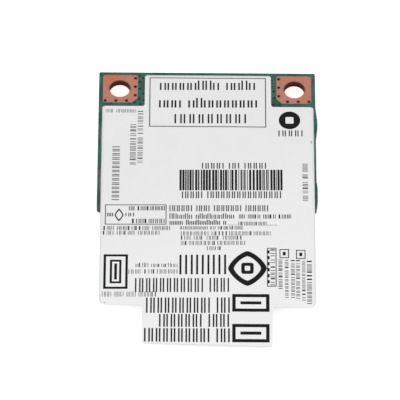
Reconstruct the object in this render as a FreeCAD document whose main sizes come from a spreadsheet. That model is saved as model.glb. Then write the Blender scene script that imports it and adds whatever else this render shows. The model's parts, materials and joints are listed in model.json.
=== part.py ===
import FreeCAD, Part
import math
import os
import Sketcher

# Half-height laptop wireless card, lying on its shield with its paper label up.
# Millimetres. X runs across the card, Y away from the edge connector, Z up.
# The origin lies midway between the screw holes, on the label side of the board.
# Pieces of the component side are drawn as seen from that side and then turned over.

SIZES = [
    ("board_width", 30.0, "circuit board from side to side"),
    ("card_length", 26.8, "far edge to the tip of the connector tongue"),
    ("board_thickness", 1.0, "laminate with its solder mask"),
    ("board_corner_radius", 0.2, "far corners of the board"),
    ("hole_side_inset", 2.9, "screw hole centre to the side edge"),
    ("hole_far_inset", 2.9, "screw hole centre to the far edge"),
    ("hole_diameter", 2.8, "clear bore of a screw hole"),
    ("nub_length", 5.4, "breakaway tab left on one side edge"),
    ("nub_height", 0.24, "how far the tab stands out"),
    ("nub_ramp", 2.2, "length of each slope of the tab"),
    ("nub_setback", 5.8, "tab centre to the line of the screw holes"),
    ("tongue_step", 2.15, "side edge to the side of the tongue"),
    ("tongue_length", 3.4, "shoulder to the tip of the tongue"),
    ("tongue_bevel", 0.25, "lead-in along the tip"),
    ("shoulder_radius", 0.4, "outer corners of the two shoulders"),
    ("key_offset", 4.0, "key notch centre from the middle of the card"),
    ("key_width", 1.5, "width of the key notch"),
    ("key_depth", 3.0, "depth of the key notch with its round end"),
    ("key_gap", 4.0, "between the contact centres beside the key"),
    ("contact_pitch", 0.8, "between contacts of one side"),
    ("contact_width", 0.6, "one gold contact"),
    ("contact_length", 2.4, "one gold contact"),
    ("contact_setback", 0.4, "contact end to the tip"),
    ("contact_margin", 0.95, "least from a contact centre to the tongue side"),
    ("contact_stagger", 0.4, "offset between the rows of the two sides"),
    ("copper_thickness", 0.05, "foil of contacts and pads"),
    ("plating_thickness", 0.05, "copper wall inside a screw hole"),
    ("pad_side_margin", 0.55, "screw pad to the side edge"),
    ("pad_far_margin", 0.48, "screw pad to the far edge"),
    ("pad_width", 4.85, "screw pad across the card"),
    ("pad_length", 4.79, "screw pad along the card"),
    ("pad_chamfer", 0.8, "cut inner corner of a screw pad"),
    ("ring_diameter", 5.6, "copper ring under a screw hole"),
    ("via_diameter", 0.36, "open via beside a screw hole"),
    ("via_pitch", 1.48, "between the vias of a line"),
    ("via_margin", 0.34, "via centre to the pad edge beside it"),
    ("via_far_margin", 0.54, "first via of the inner line to the pad's far edge"),
    ("label_thickness", 0.12, "paper label with its glue"),
    ("label_width", 29.2, "widest part of the label"),
    ("label_shift", 0.12, "label centre from the card centre"),
    ("label_tab_width", 17.5, "narrow far and near ends of the label"),
    ("label_far_end", 2.35, "far end from the line of the screw holes"),
    ("label_far_tab", 5.4, "length of the far tab"),
    ("label_overhang", 18.0, "length past the tip of the tongue"),
    ("label_near_tab", 5.75, "length of the near tab"),
    ("label_droop_left", 1.1, "fall of the free end at the left"),
    ("label_droop_right", 2.2, "fall of the free end at the right"),
    ("label_wing_radius", 0.9, "corners of the near wings"),
    ("label_corner_radius", 0.35, "the other corners of the label"),
    ("shield_side_margin", 1.8, "side edge of the board to the lid"),
    ("shield_near_margin", 2.2, "shoulder of the board to the lid"),
    ("shield_setback", 3.3, "lid to the line of the screw holes"),
    ("shield_height", 1.9, "board to the outside of the lid"),
    ("lid_thickness", 0.2, "tinned sheet of the lid"),
    ("lid_lift", 0.3, "rim of the lid above the board"),
    ("lid_bend_radius", 0.35, "outside of the bend along the lid"),
    ("lid_slit", 0.5, "open corner between two folded walls"),
    ("lid_clearance", 0.04, "lid wall to frame wall"),
    ("frame_thickness", 0.2, "tinned sheet of the frame"),
    ("frame_corner_radius", 0.5, "outside corners of the frame"),
    ("frame_lip", 0.9, "lip folded in along the top of the frame"),
    ("frame_bar", 1.2, "bar across the frame"),
    ("frame_bar_offset", 6.0, "bar centre from the frame centre"),
    ("window_radius", 0.6, "corners of the frame's windows"),
    ("foot_gap", 1.1, "opening between two soldered feet"),
    ("foot_height", 0.3, "height of a soldered foot"),
    ("foot_pitch", 2.2, "between the openings"),
    ("foot_end", 0.9, "least length of a corner foot"),
    ("snap_diameter", 0.7, "pressed dimple of the lid"),
    ("snap_depth", 0.16, "how far a dimple reaches in"),
    ("snap_clearance", 0.06, "dimple to the edge of its hole"),
    ("snap_height", 1.05, "dimple centre above the board"),
    ("snap_pitch", 8.0, "between the dimples of a wall"),
    ("snap_end", 2.2, "least from a dimple to the end of the wall"),
    ("socket_offset", 6.3, "antenna socket from the card centre"),
    ("socket_margin", 0.28, "foot of a socket to the far edge"),
    ("socket_base", 2.6, "side of the moulded base"),
    ("socket_base_height", 0.35, "moulded base"),
    ("socket_height", 1.25, "whole antenna socket"),
    ("socket_ring_diameter", 2.0, "outside of the contact ring"),
    ("socket_ring_wall", 0.18, "wall of the contact ring"),
    ("socket_groove", 0.08, "depth of the latch groove"),
    ("socket_taper", 0.04, "how much slimmer the ring is at the strap than at the groove"),
    ("socket_pin_diameter", 0.5, "centre pin"),
    ("socket_pin_height", 1.05, "centre pin above the board"),
    ("strap_width", 1.8, "strap over the moulded base"),
    ("strap_foot", 0.3, "soldered foot of the strap"),
    ("strap_thickness", 0.12, "sheet of the strap"),
    ("part_gap", 0.5, "clear space between parts of the component side"),
    ("chip_standoff", 0.05, "solder pads under a chip"),
    ("chip_pad_pitch", 0.4, "between the solder pads of a chip"),
    ("chip_pad_width", 0.2, "one solder pad"),
    ("chip_pad_length", 0.45, "one solder pad"),
    ("chip_pad_corner", 0.4, "least from a pad to the end of its side"),
    ("chip_slug_gap", 0.5, "heat pad to the solder pads"),
    ("chip_chamfer", 0.08, "edges of a chip moulding"),
    ("chip_mark_diameter", 0.5, "moulded dot at the first pad"),
    ("chip_mark_depth", 0.05, "moulded dot"),
    ("chip_mark_inset", 0.8, "dot centre from the chip edges"),
    ("radio_size", 7.0, "side of the radio chip"),
    ("radio_height", 0.85, "moulding of the radio chip"),
    ("radio_offset", 0.5, "radio chip from the card centre"),
    ("module_size", 3.0, "side of a front end module"),
    ("module_height", 0.6, "moulding of a front end module"),
    ("filter_length", 2.0, "antenna filter"),
    ("filter_width", 1.25, "antenna filter"),
    ("filter_height", 0.8, "antenna filter"),
    ("crystal_length", 3.2, "reference crystal"),
    ("crystal_width", 2.5, "reference crystal"),
    ("crystal_base_height", 0.4, "ceramic base of the crystal"),
    ("crystal_cap_height", 0.3, "metal cap of the crystal"),
    ("crystal_cap_inset", 0.15, "cap edge inside the base edge"),
    ("crystal_radius", 0.3, "corners of the crystal cap"),
    ("memory_length", 3.0, "memory chip"),
    ("memory_width", 2.0, "memory chip"),
    ("memory_height", 0.75, "memory chip"),
    ("inductor_length", 2.5, "power inductor"),
    ("inductor_width", 2.0, "power inductor"),
    ("inductor_height", 1.0, "power inductor"),
    ("inductor_radius", 0.25, "corners of the power inductor"),
    ("regulator_size", 1.8, "side of the regulator chip"),
    ("regulator_height", 0.6, "regulator chip"),
    ("passive_length", 1.0, "chip capacitor or resistor"),
    ("passive_width", 0.5, "chip capacitor or resistor"),
    ("capacitor_height", 0.5, "chip capacitor"),
    ("resistor_height", 0.35, "chip resistor"),
    ("terminal_length", 0.22, "metal end of a chip part"),
    ("edge_row_offset", 3.4, "first part by the tongue from the card centre"),
    ("edge_row_pitch", 1.4, "between the parts by the tongue"),
    ("edge_row_end", 3.0, "least from those parts to the side edge"),
    ("match_pitch", 1.1, "between the matching parts of an antenna"),
    ("match_count", 3, "matching parts of one antenna"),
    ("column_pitch", 1.3, "between capacitors beside the radio chip"),
    ("chip_row_pitch", 1.1, "between resistors near the radio chip"),
]

# Places that several pieces share, as expressions of the sheet's cells
HALF_BOARD = "(size.board_width / 2)"
HALF_TONGUE = f"({HALF_BOARD} - size.tongue_step)"
FAR_EDGE = "size.hole_far_inset"
TIP = "(size.hole_far_inset - size.card_length)"
SHOULDER = f"({TIP} + size.tongue_length)"
HOLE_X = f"({HALF_BOARD} - size.hole_side_inset)"
BORE_RADIUS = "(size.hole_diameter / 2)"
BARREL_RADIUS = f"({BORE_RADIUS} + size.plating_thickness)"
PAD_OUTER = f"({HALF_BOARD} - size.pad_side_margin)"
PAD_INNER = f"({PAD_OUTER} - size.pad_width)"
PAD_FAR = f"({FAR_EDGE} - size.pad_far_margin)"
PAD_NEAR = f"({PAD_FAR} - size.pad_length)"
CONTACT_FRONT = f"({TIP} + size.contact_setback)"
CONTACT_BACK = f"({CONTACT_FRONT} + size.contact_length)"
LABEL_END = f"({TIP} - size.label_overhang)"
LABEL_LEFT = "(size.label_shift - size.label_width / 2)"
LABEL_RIGHT = "(size.label_shift + size.label_width / 2)"
LID_WIDTH = "(size.board_width - 2 * size.shield_side_margin)"
LID_NEAR = f"({SHOULDER} + size.shield_near_margin)"
LID_FAR = "(-size.shield_setback)"
LID_LENGTH = f"({LID_FAR} - {LID_NEAR})"
LID_CENTRE = ("0", f"(({LID_FAR} + {LID_NEAR}) / 2)")
LID_WALL = "(size.lid_thickness + size.lid_clearance)"
FRAME_WIDTH = f"({LID_WIDTH} - 2 * {LID_WALL})"
FRAME_LENGTH = f"({LID_LENGTH} - 2 * {LID_WALL})"
FRAME_HEIGHT = "(size.shield_height - size.lid_thickness)"
INSIDE_NEAR = f"({LID_NEAR} + {LID_WALL} + size.frame_thickness)"
INSIDE_FAR = f"({LID_FAR} - {LID_WALL} - size.frame_thickness)"
STRAP_LEG = "(size.socket_base / 2 + size.strap_thickness)"
STRAP_REACH = f"({STRAP_LEG} + size.strap_foot)"
SOCKET_Y = f"({FAR_EDGE} - size.socket_margin - {STRAP_REACH})"

# Centres of the parts under the shield, each beside its neighbour
CHIP_ROW_Y = f"({INSIDE_NEAR} + size.part_gap + size.passive_length / 2)"
RADIO_Y = f"({CHIP_ROW_Y} + size.passive_length / 2 + size.part_gap + size.radio_size / 2)"
RADIO = ("size.radio_offset", RADIO_Y)
MODULE_X = "(size.radio_offset + size.radio_size / 2 + size.part_gap + size.module_size / 2)"
MODULE_Y = f"({INSIDE_FAR} - size.part_gap - size.module_size / 2)"
FILTER_X = f"({MODULE_X} + size.module_size / 2 + size.part_gap + size.filter_width / 2)"
FILTER_Y = f"({INSIDE_FAR} - size.part_gap - size.filter_length / 2)"
COLUMN_SHIFT = "(size.radio_size / 2 + size.part_gap + size.passive_length / 2)"
MEMORY_X = (f"(size.radio_offset + {COLUMN_SHIFT} + size.passive_length / 2 + size.part_gap"
            " + size.memory_length / 2)")
MEMORY_Y = f"({INSIDE_NEAR} + size.part_gap + size.memory_width / 2)"
REGULATOR_Y = f"({MEMORY_Y} + size.memory_width / 2 + size.part_gap + size.regulator_size / 2)"
CRYSTAL_X = (f"(size.radio_offset - {COLUMN_SHIFT} - size.passive_length / 2 - size.part_gap"
             " - size.crystal_length / 2)")
CRYSTAL_Y = f"({INSIDE_NEAR} + size.part_gap + size.crystal_width / 2)"
INDUCTOR_Y = f"({CRYSTAL_Y} + size.crystal_width / 2 + size.part_gap + size.inductor_width / 2)"
MATCH_Y = f"({LID_FAR} + size.part_gap + size.passive_length / 2)"
EDGE_ROW_Y = f"(({SHOULDER} + {LID_NEAR}) / 2)"

NEARLY = 1e-4
FULL_TURN = 360
DIGITS = 3
VIA_COUNT = 3
VIA_SIDES = 8
DIMPLE_SIDES = 12

doc = FreeCAD.newDocument("wireless_card")
sheet = doc.addObject("Spreadsheet::Sheet", "size")
pieces = []


def fill_sheet():
    """Write each driving dimension with its alias and its meaning."""
    for row, (alias, amount, meaning) in enumerate(SIZES, 1):
        sheet.set(f"A{row}", alias)
        sheet.set(f"B{row}", str(amount))
        sheet.set(f"C{row}", meaning)
        sheet.setAlias(f"B{row}", alias)
    doc.recompute()


def value(expression):
    """Return an expression of the sheet's cells as a number."""
    return float(sheet.evalExpression(expression))


# Bodies, sketches and features

def new_body(label, kept=True):
    """Start a body; the label of a kept one names its file."""
    body = doc.addObject("PartDesign::Body", label)
    body.Label = label
    body.AllowCompound = True
    if kept:
        pieces.append(body)
    return body


def origin_part(body, role):
    """Return one of the planes or axes of a body's origin."""
    return next(part for part in body.Origin.OriginFeatures if part.Role == role)


def new_sketch(body, name, plane="XY_Plane", lift="0"):
    """Attach a sketch to a plane of its body, lifted along the normal."""
    sketch = body.newObject("Sketcher::SketchObject", name)
    sketch.AttachmentSupport = [(origin_part(body, plane), "")]
    sketch.MapMode = "FlatFace"
    sketch.setExpression("AttachmentOffset.Base.z", lift)
    return sketch


def as_vector(place):
    return FreeCAD.Vector(value(place[0]), value(place[1]), 0)


def fix_point(sketch, edge, point, place):
    """Hold one point of an edge at a place given by two expressions."""
    for axis, expression in zip(("DistanceX", "DistanceY"), place):
        rule = Sketcher.Constraint(axis, -1, 1, edge, point, value(expression))
        number = sketch.addConstraint(rule)
        sketch.setExpression(f"Constraints[{number}]", expression)


def fix_radius(sketch, edge, radius):
    number = sketch.addConstraint(Sketcher.Constraint("Radius", edge, value(radius)))
    sketch.setExpression(f"Constraints[{number}]", radius)


def add_outline(sketch, corners):
    """Draw a closed outline of straight edges through the corners."""
    first = sketch.GeometryCount
    count = len(corners)
    for index, corner in enumerate(corners):
        after = corners[(index + 1) % count]
        sketch.addGeometry(Part.LineSegment(as_vector(corner), as_vector(after)), False)
    for index, corner in enumerate(corners):
        before = first + (index - 1) % count
        sketch.addConstraint(Sketcher.Constraint("Coincident", before, 2, first + index, 1))
        fix_point(sketch, first + index, 1, corner)


def add_rectangle(sketch, left, right, near, far):
    add_outline(sketch, [(left, near), (right, near), (right, far), (left, far)])


def add_box(sketch, across, along, centre=("0", "0")):
    """Draw a rectangle by its size and centre."""
    x, y = centre
    add_rectangle(sketch, f"{x} - {across} / 2", f"{x} + {across} / 2",
                  f"{y} - {along} / 2", f"{y} + {along} / 2")


def add_circle(sketch, centre, radius):
    circle = Part.Circle(as_vector(centre), FreeCAD.Vector(0, 0, 1), value(radius))
    edge = sketch.addGeometry(circle, False)
    fix_point(sketch, edge, 3, centre)
    fix_radius(sketch, edge, radius)


def add_small_round(sketch, centre, radius, sides):
    """Draw a tiny circle as a regular polygon, so that its wall has few faces."""
    x, y = centre
    turns = [math.tau * (side + 0.5) / sides for side in range(sides)]
    add_outline(sketch, [(f"{x} + {radius} * {math.cos(turn):.6f}",
                          f"{y} + {radius} * {math.sin(turn):.6f}") for turn in turns])


def finish(body, feature):
    """Make a feature the tip of its body and work it out."""
    body.Tip = feature
    doc.recompute([feature])
    return feature


def pad(body, name, sketch, length, down=False):
    """Raise a sketch into a solid."""
    feature = body.newObject("PartDesign::Pad", name)
    feature.Profile = sketch
    feature.setExpression("Length", length)
    feature.Reversed = down
    return finish(body, feature)


def pocket(body, name, sketch, depth=None, up=False):
    """Cut a sketch into the body, to a depth or right through."""
    before = body.Tip.Shape.Volume
    feature = body.newObject("PartDesign::Pocket", name)
    feature.Profile = sketch
    feature.Reversed = up
    if depth is None:
        feature.Midplane = True
        feature.Type = "ThroughAll"
    else:
        feature.setExpression("Length", depth)
    finish(body, feature)
    if before - feature.Shape.Volume < NEARLY:
        raise RuntimeError(f"{body.Label}: {name} cuts nothing")
    return feature


def row_of(body, name, feature, axis, pitch, count):
    """Repeat a feature along one axis of its body."""
    pattern = body.newObject("PartDesign::LinearPattern", name)
    pattern.Originals = [feature]
    pattern.Direction = (origin_part(body, axis), [""])
    pattern.Mode = "Spacing"
    pattern.setExpression("Offset", pitch)
    pattern.setExpression("Occurrences", count)
    return finish(body, pattern)


def dress(body, kind, name, feature, wanted, amount):
    """Round or bevel the edges of a feature that pass a test."""
    dressed = body.newObject(f"PartDesign::{kind}", name)
    dressed.Base = (feature, edge_names(feature, wanted))
    dressed.setExpression("Radius" if kind == "Fillet" else "Size", amount)
    return finish(body, dressed)


def edge_names(feature, wanted):
    """Name the edges of a feature that pass a test of the edge and its middle."""
    names = []
    for number, edge in enumerate(feature.Shape.Edges, 1):
        middle = edge.valueAt((edge.FirstParameter + edge.LastParameter) / 2)
        if wanted(edge, middle):
            names.append(f"Edge{number}")
    return names


def is_upright(edge):
    """Tell whether an edge is straight and parallel to Z."""
    ends = [vertex.Point for vertex in edge.Vertexes]
    if len(ends) < 2 or edge.Curve.TypeId != "Part::GeomLine":
        return False
    return math.hypot(ends[1].x - ends[0].x, ends[1].y - ends[0].y) < NEARLY


def seat_below(body, x="0", y="0"):
    """Turn a body over and seat it on the component side of the board."""
    turned = FreeCAD.Rotation(FreeCAD.Vector(0, 1, 0), 180)
    body.Placement = FreeCAD.Placement(FreeCAD.Vector(), turned)
    for axis, expression in zip("xyz", (f"-({x})", y, "-size.board_thickness")):
        body.setExpression(f"Placement.Base.{axis}", expression)


def count_within(room, pitch):
    """Count the copies that fit a length at a pitch, both ends included."""
    return f"floor({room} / {pitch} + {NEARLY}) + 1"


def first_of_row(pitch, count):
    """Give the first centre of a row that is centred on zero."""
    return f"(-({count} - 1) * {pitch} / 2)"


# Circuit board and its copper

def contact_rows(side):
    """Give each row of one side: its name, first contact centre and count."""
    sign = "+" if side == "component" else "-"
    shift = f"{sign} size.contact_stagger / 2"
    reach = f"({HALF_TONGUE} - size.contact_margin)"
    short = f"(size.key_offset + size.key_gap / 2 {shift})"
    inner = f"(size.key_offset - size.key_gap / 2 {shift})"
    short_count = count_within(f"({reach} - {short})", "size.contact_pitch")
    long_count = count_within(f"({reach} + {inner})", "size.contact_pitch")
    long = f"({inner} - ({long_count} - 1) * size.contact_pitch)"
    return [("Short", short, short_count), ("Long", long, long_count)]


def draw_contact(body, name, centre, lift):
    sketch = new_sketch(body, name, lift=lift)
    half = "size.contact_width / 2"
    add_rectangle(sketch, f"{centre} - {half}", f"{centre} + {half}", CONTACT_FRONT, CONTACT_BACK)
    return sketch


def cut_contact_seats(body):
    """Sink a shallow seat for each gold contact on both sides."""
    for side, lift, up in (("label", "0", False), ("component", "-size.board_thickness", True)):
        for name, centre, count in contact_rows(side):
            sketch = draw_contact(body, f"{name}Seat{side}", centre, lift)
            seat = pocket(body, f"{name}Cut{side}", sketch, "size.copper_thickness", up)
            row_of(body, f"{name}Seats{side}", seat, "X_Axis", "size.contact_pitch", count)


def draw_screw_pad(sketch, sign):
    """Outline of the copper on the label side, with its cut inner corner."""
    inner = f"{sign} * {PAD_INNER}"
    outer = f"{sign} * {PAD_OUTER}"
    slope = f"{sign} * ({PAD_INNER} + size.pad_chamfer)"
    add_outline(sketch, [(inner, PAD_FAR), (outer, PAD_FAR), (outer, PAD_NEAR),
                         (slope, PAD_NEAR), (inner, f"{PAD_NEAR} + size.pad_chamfer")])


def draw_vias(sketch, sign):
    """Two lines of small open vias, near and inner, beside a screw hole."""
    near = f"{PAD_NEAR} + size.via_margin"
    inner = f"{sign} * ({PAD_INNER} + size.via_margin)"
    for step in range(VIA_COUNT):
        across = f"{sign} * ({PAD_OUTER} - size.via_margin - {step} * size.via_pitch)"
        along = f"{PAD_FAR} - size.via_far_margin - {step} * size.via_pitch"
        for centre in ((across, near), (inner, along)):
            add_small_round(sketch, centre, "size.via_diameter / 2", VIA_SIDES)


def draw_board_outline(sketch):
    """Plan of the board: tongue, shoulders, and the tab on its right edge."""
    nub = f"({HALF_BOARD} + size.nub_height)"
    nub_near = "(-size.nub_setback - size.nub_length / 2)"
    nub_far = "(-size.nub_setback + size.nub_length / 2)"
    add_outline(sketch, [
        (f"-{HALF_TONGUE}", TIP), (HALF_TONGUE, TIP), (HALF_TONGUE, SHOULDER),
        (HALF_BOARD, SHOULDER), (HALF_BOARD, nub_near), (nub, f"{nub_near} + size.nub_ramp"),
        (nub, f"{nub_far} - size.nub_ramp"), (HALF_BOARD, nub_far), (HALF_BOARD, FAR_EDGE),
        (f"-{HALF_BOARD}", FAR_EDGE), (f"-{HALF_BOARD}", SHOULDER), (f"-{HALF_TONGUE}", SHOULDER)])


def make_board():
    body = new_body("circuit_board")
    outline = new_sketch(body, "Outline")
    draw_board_outline(outline)
    plate = pad(body, "Laminate", outline, "size.board_thickness", down=True)
    side = value(HALF_BOARD) - NEARLY
    far, shoulder, tip = value(FAR_EDGE), value(SHOULDER), value(TIP)
    plate = dress(body, "Fillet", "FarCorners", plate, lambda edge, middle: is_upright(edge)
                  and abs(middle.y - far) < NEARLY, "size.board_corner_radius")
    plate = dress(body, "Fillet", "Shoulders", plate, lambda edge, middle: is_upright(edge)
                  and abs(middle.x) > side and abs(middle.y - shoulder) < NEARLY,
                  "size.shoulder_radius")
    notch = cut_key(body)
    dress(body, "Chamfer", "Bevel", notch, lambda edge, middle: abs(middle.y - tip) < NEARLY
          and not is_upright(edge), "size.tongue_bevel")
    for sign, name in ((-1, "Left"), (1, "Right")):
        cut_screw_pad_seat(body, name, sign)
    cut_contact_seats(body)


def cut_key(body):
    """Cut the key notch of the tongue with its round end."""
    key_end = f"({TIP} + size.key_depth - size.key_width / 2)"
    key = new_sketch(body, "Key")
    add_box(key, "size.key_width", f"(2 * ({key_end} - {TIP}))", ("size.key_offset", TIP))
    pocket(body, "KeyNotch", key)
    round_end = new_sketch(body, "KeyEnd")
    add_circle(round_end, ("size.key_offset", key_end), "size.key_width / 2")
    return pocket(body, "KeyRound", round_end)


def cut_screw_pad_seat(body, name, sign):
    """Sink seats for a pad and its ring, and bore the screw hole and the vias."""
    centre = (f"{sign} * {HOLE_X}", "0")
    seat = new_sketch(body, f"{name}PadSeat")
    draw_screw_pad(seat, sign)
    pocket(body, f"{name}PadCut", seat, "size.copper_thickness")
    ring = new_sketch(body, f"{name}RingSeat", lift="-size.board_thickness")
    add_circle(ring, centre, "size.ring_diameter / 2")
    pocket(body, f"{name}RingCut", ring, "size.copper_thickness", up=True)
    bores = new_sketch(body, f"{name}Bores")
    add_circle(bores, centre, BARREL_RADIUS)
    draw_vias(bores, sign)
    pocket(body, f"{name}BoreCut", bores)


def make_screw_pad(label, sign):
    """Plated screw hole: pad above, barrel through the board, ring below."""
    body = new_body(label)
    centre = (f"{sign} * {HOLE_X}", "0")
    outline = new_sketch(body, "PadOutline")
    draw_screw_pad(outline, sign)
    pad(body, "Foil", outline, "size.copper_thickness", down=True)
    barrel = new_sketch(body, "BarrelCircle")
    add_circle(barrel, centre, BARREL_RADIUS)
    pad(body, "Barrel", barrel, "size.board_thickness", down=True)
    ring = new_sketch(body, "RingCircle", lift="-size.board_thickness")
    add_circle(ring, centre, "size.ring_diameter / 2")
    pad(body, "Ring", ring, "size.copper_thickness")
    bores = new_sketch(body, "BoreCircles")
    add_circle(bores, centre, BORE_RADIUS)
    draw_vias(bores, sign)
    pocket(body, "Bores", bores)


def make_contacts(side):
    """Gold contacts of one side of the tongue, flush with the mask."""
    body = new_body(f"edge_contacts_{side}_side")
    on_top = side == "label"
    lift = "0" if on_top else "-size.board_thickness"
    for name, centre, count in contact_rows(side):
        sketch = draw_contact(body, f"{name}Contact", centre, lift)
        first = pad(body, f"{name}Foil", sketch, "size.copper_thickness", down=on_top)
        row_of(body, f"{name}Row", first, "X_Axis", "size.contact_pitch", count)


# Paper label, flat on the board and drooping past the tongue

def draw_label_side(sketch, droop):
    """Side view of the sheet: flat, then an arc down to its free end."""
    reach = "size.label_overhang"
    radius = f"(({reach} ^ 2 + {droop} ^ 2) / (2 * {droop}))"
    outer = f"({radius} + size.label_thickness)"
    far_low, far_high = (("size.label_far_end", rise) for rise in ("0", "size.label_thickness"))
    bend_low, bend_high = ((TIP, rise) for rise in ("0", "size.label_thickness"))
    low = (LABEL_END, f"-{droop}")
    high = (LABEL_END, f"sqrt({outer} ^ 2 - {reach} ^ 2) - {radius}")
    chain = [(far_high, far_low, None), (far_low, bend_low, None), (bend_low, low, radius),
             (low, high, None), (high, bend_high, outer), (bend_high, far_high, None)]
    for start, end, bend in chain:
        sketch.addGeometry(side_edge(start, end, bend), False)
    for edge, (start, end, bend) in enumerate(chain):
        after = (edge + 1) % len(chain)
        joint = (edge, point_at(sketch, edge, end), after, point_at(sketch, after, end))
        sketch.addConstraint(Sketcher.Constraint("Coincident", *joint))
        fix_point(sketch, edge, point_at(sketch, edge, start), start)
        if bend:
            fix_radius(sketch, edge, bend)


def side_edge(start, end, radius):
    """A straight edge, or an arc whose centre lies straight under the bend."""
    first, last = as_vector(start), as_vector(end)
    if radius is None:
        return Part.LineSegment(first, last)
    bend = first if abs(first.x - value(TIP)) < NEARLY else last
    centre = FreeCAD.Vector(bend.x, bend.y - value(radius), 0)
    middle = (first + last) / 2 - centre
    middle.Length = value(radius)
    return Part.Arc(first, centre + middle, last)


def point_at(sketch, edge, spot):
    """Number the end of an edge that lies at a spot, as arcs run anticlockwise."""
    start = sketch.getPoint(edge, 1)
    return 1 if start.distanceToPoint(as_vector(spot)) < NEARLY else 2


def make_label():
    """The drooping sheet, kept where it lies inside the label's outline."""
    label = doc.addObject("Part::Common", "label")
    label.Label = "label"
    label.Base = make_sheet()
    label.Tool = make_label_outline()
    pieces.append(label)


def make_sheet():
    """Sheet spanned from the side view at its left edge to the one at its right."""
    body = new_body("label_sheet", kept=False)
    first = new_sketch(body, "LeftSide", "YZ_Plane", LABEL_LEFT)
    draw_label_side(first, "size.label_droop_left")
    last = new_sketch(body, "RightSide", "YZ_Plane", LABEL_RIGHT)
    draw_label_side(last, "size.label_droop_right")
    span = body.newObject("PartDesign::AdditiveLoft", "Sheet")
    span.Profile = first
    span.Sections = [last]
    span.Ruled = True
    finish(body, span)
    return body


def make_label_outline():
    """Prism of the label's plan: a wide middle with a narrow tab at each end."""
    body = new_body("label_outline", kept=False)
    tab_left = "(size.label_shift - size.label_tab_width / 2)"
    tab_right = "(size.label_shift + size.label_tab_width / 2)"
    far = "size.label_far_end"
    far_notch = f"({far} - size.label_far_tab)"
    near_notch = f"({LABEL_END} + size.label_near_tab)"
    plan = new_sketch(body, "Plan", lift="size.label_thickness")
    add_outline(plan, [
        (tab_left, LABEL_END), (tab_right, LABEL_END), (tab_right, near_notch),
        (LABEL_RIGHT, near_notch), (LABEL_RIGHT, far_notch), (tab_right, far_notch),
        (tab_right, far), (tab_left, far), (tab_left, far_notch), (LABEL_LEFT, far_notch),
        (LABEL_LEFT, near_notch), (tab_left, near_notch)])
    depth = "size.label_droop_left + size.label_droop_right + size.label_thickness"
    prism = pad(body, "Prism", plan, depth, down=True)
    near = value(near_notch)
    sides = (value(LABEL_LEFT), value(LABEL_RIGHT))

    def at_wing(edge, middle):
        at_side = min(abs(middle.x - side) for side in sides) < NEARLY
        return is_upright(edge) and at_side and abs(middle.y - near) < NEARLY

    prism = dress(body, "Fillet", "WingCorners", prism, at_wing, "size.label_wing_radius")
    dress(body, "Fillet", "OtherCorners", prism, lambda edge, middle: is_upright(edge)
          and not bounds_round_face(edge, prism), "size.label_corner_radius")
    return body


def bounds_round_face(edge, feature):
    """Tell whether an edge bounds a corner that is already rounded."""
    faces = feature.Shape.ancestorsOfType(edge, Part.Face)
    return any(face.Surface.TypeId == "Part::GeomCylinder" for face in faces)


# Shield over the radio parts

def wall_rows(end, gap, pitch):
    """For the wide and the short walls: plane, axis, first centre and count."""
    rows = []
    for plane, axis, length in (("XZ_Plane", "X_Axis", FRAME_WIDTH),
                                ("YZ_Plane", "Y_Axis", FRAME_LENGTH)):
        count = f"({count_within(f'({length} - 2 * {end} - {gap})', pitch)})"
        rows.append((plane, axis, first_of_row(pitch, count), count))
    return rows


def make_lid():
    """Folded lid with open corners and dimples that snap into the frame."""
    body = new_body("shield_lid")
    base = new_sketch(body, "Plan", lift="size.lid_lift")
    add_box(base, LID_WIDTH, LID_LENGTH)
    block = pad(body, "Block", base, "size.shield_height - size.lid_lift")
    top = value("size.shield_height") - NEARLY
    dress(body, "Fillet", "Bends", block, lambda edge, middle: middle.z > top,
          "size.lid_bend_radius")
    inside = new_sketch(body, "Inside", lift="size.lid_lift")
    add_box(inside, f"({LID_WIDTH} - 2 * size.lid_thickness)",
            f"({LID_LENGTH} - 2 * size.lid_thickness)")
    pocket(body, "Hollow", inside, "size.shield_height - size.lid_lift - size.lid_thickness", up=True)
    slits = new_sketch(body, "Slits", lift="size.lid_lift")
    for across in (-1, 1):
        for along in (-1, 1):
            corner = (f"{across} * {LID_WIDTH} / 2", f"{along} * {LID_LENGTH} / 2")
            add_box(slits, "(2 * size.lid_slit)", "(2 * size.lid_slit)", corner)
    pocket(body, "OpenCorners", slits, "size.shield_height - size.lid_lift - size.lid_bend_radius",
           up=True)
    spans = (LID_LENGTH, LID_WIDTH)
    for span, row in zip(spans, wall_rows("size.snap_end", "0", "size.snap_pitch")):
        for name, sign in (("Far", 1), ("Near", -1)):
            press_dimples(body, name, sign, span, row)
    seat_below(body, *LID_CENTRE)


def press_dimples(body, name, sign, span, row):
    """Press a row of dimples into one wall: a boss inside, a hollow outside."""
    plane, axis, first, count = row
    name = f"{name}{plane[:2]}"
    centre = (first, "size.snap_height")
    boss = new_sketch(body, f"{name}Dimple", plane, f"{sign} * ({span} / 2 - size.lid_thickness)")
    add_small_round(boss, centre, "size.snap_diameter / 2", DIMPLE_SIDES)
    raised = pad(body, f"{name}Boss", boss, "size.snap_depth", down=sign > 0)
    row_of(body, f"{name}Bosses", raised, axis, "size.snap_pitch", count)
    hollow = new_sketch(body, f"{name}Press", plane, f"{sign} * {span} / 2")
    add_small_round(hollow, centre, "(size.snap_diameter / 2 - size.lid_thickness / 2)",
                    DIMPLE_SIDES)
    pressed = pocket(body, f"{name}Hollow", hollow, "size.snap_depth", up=sign < 0)
    row_of(body, f"{name}Hollows", pressed, axis, "size.snap_pitch", count)


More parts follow.
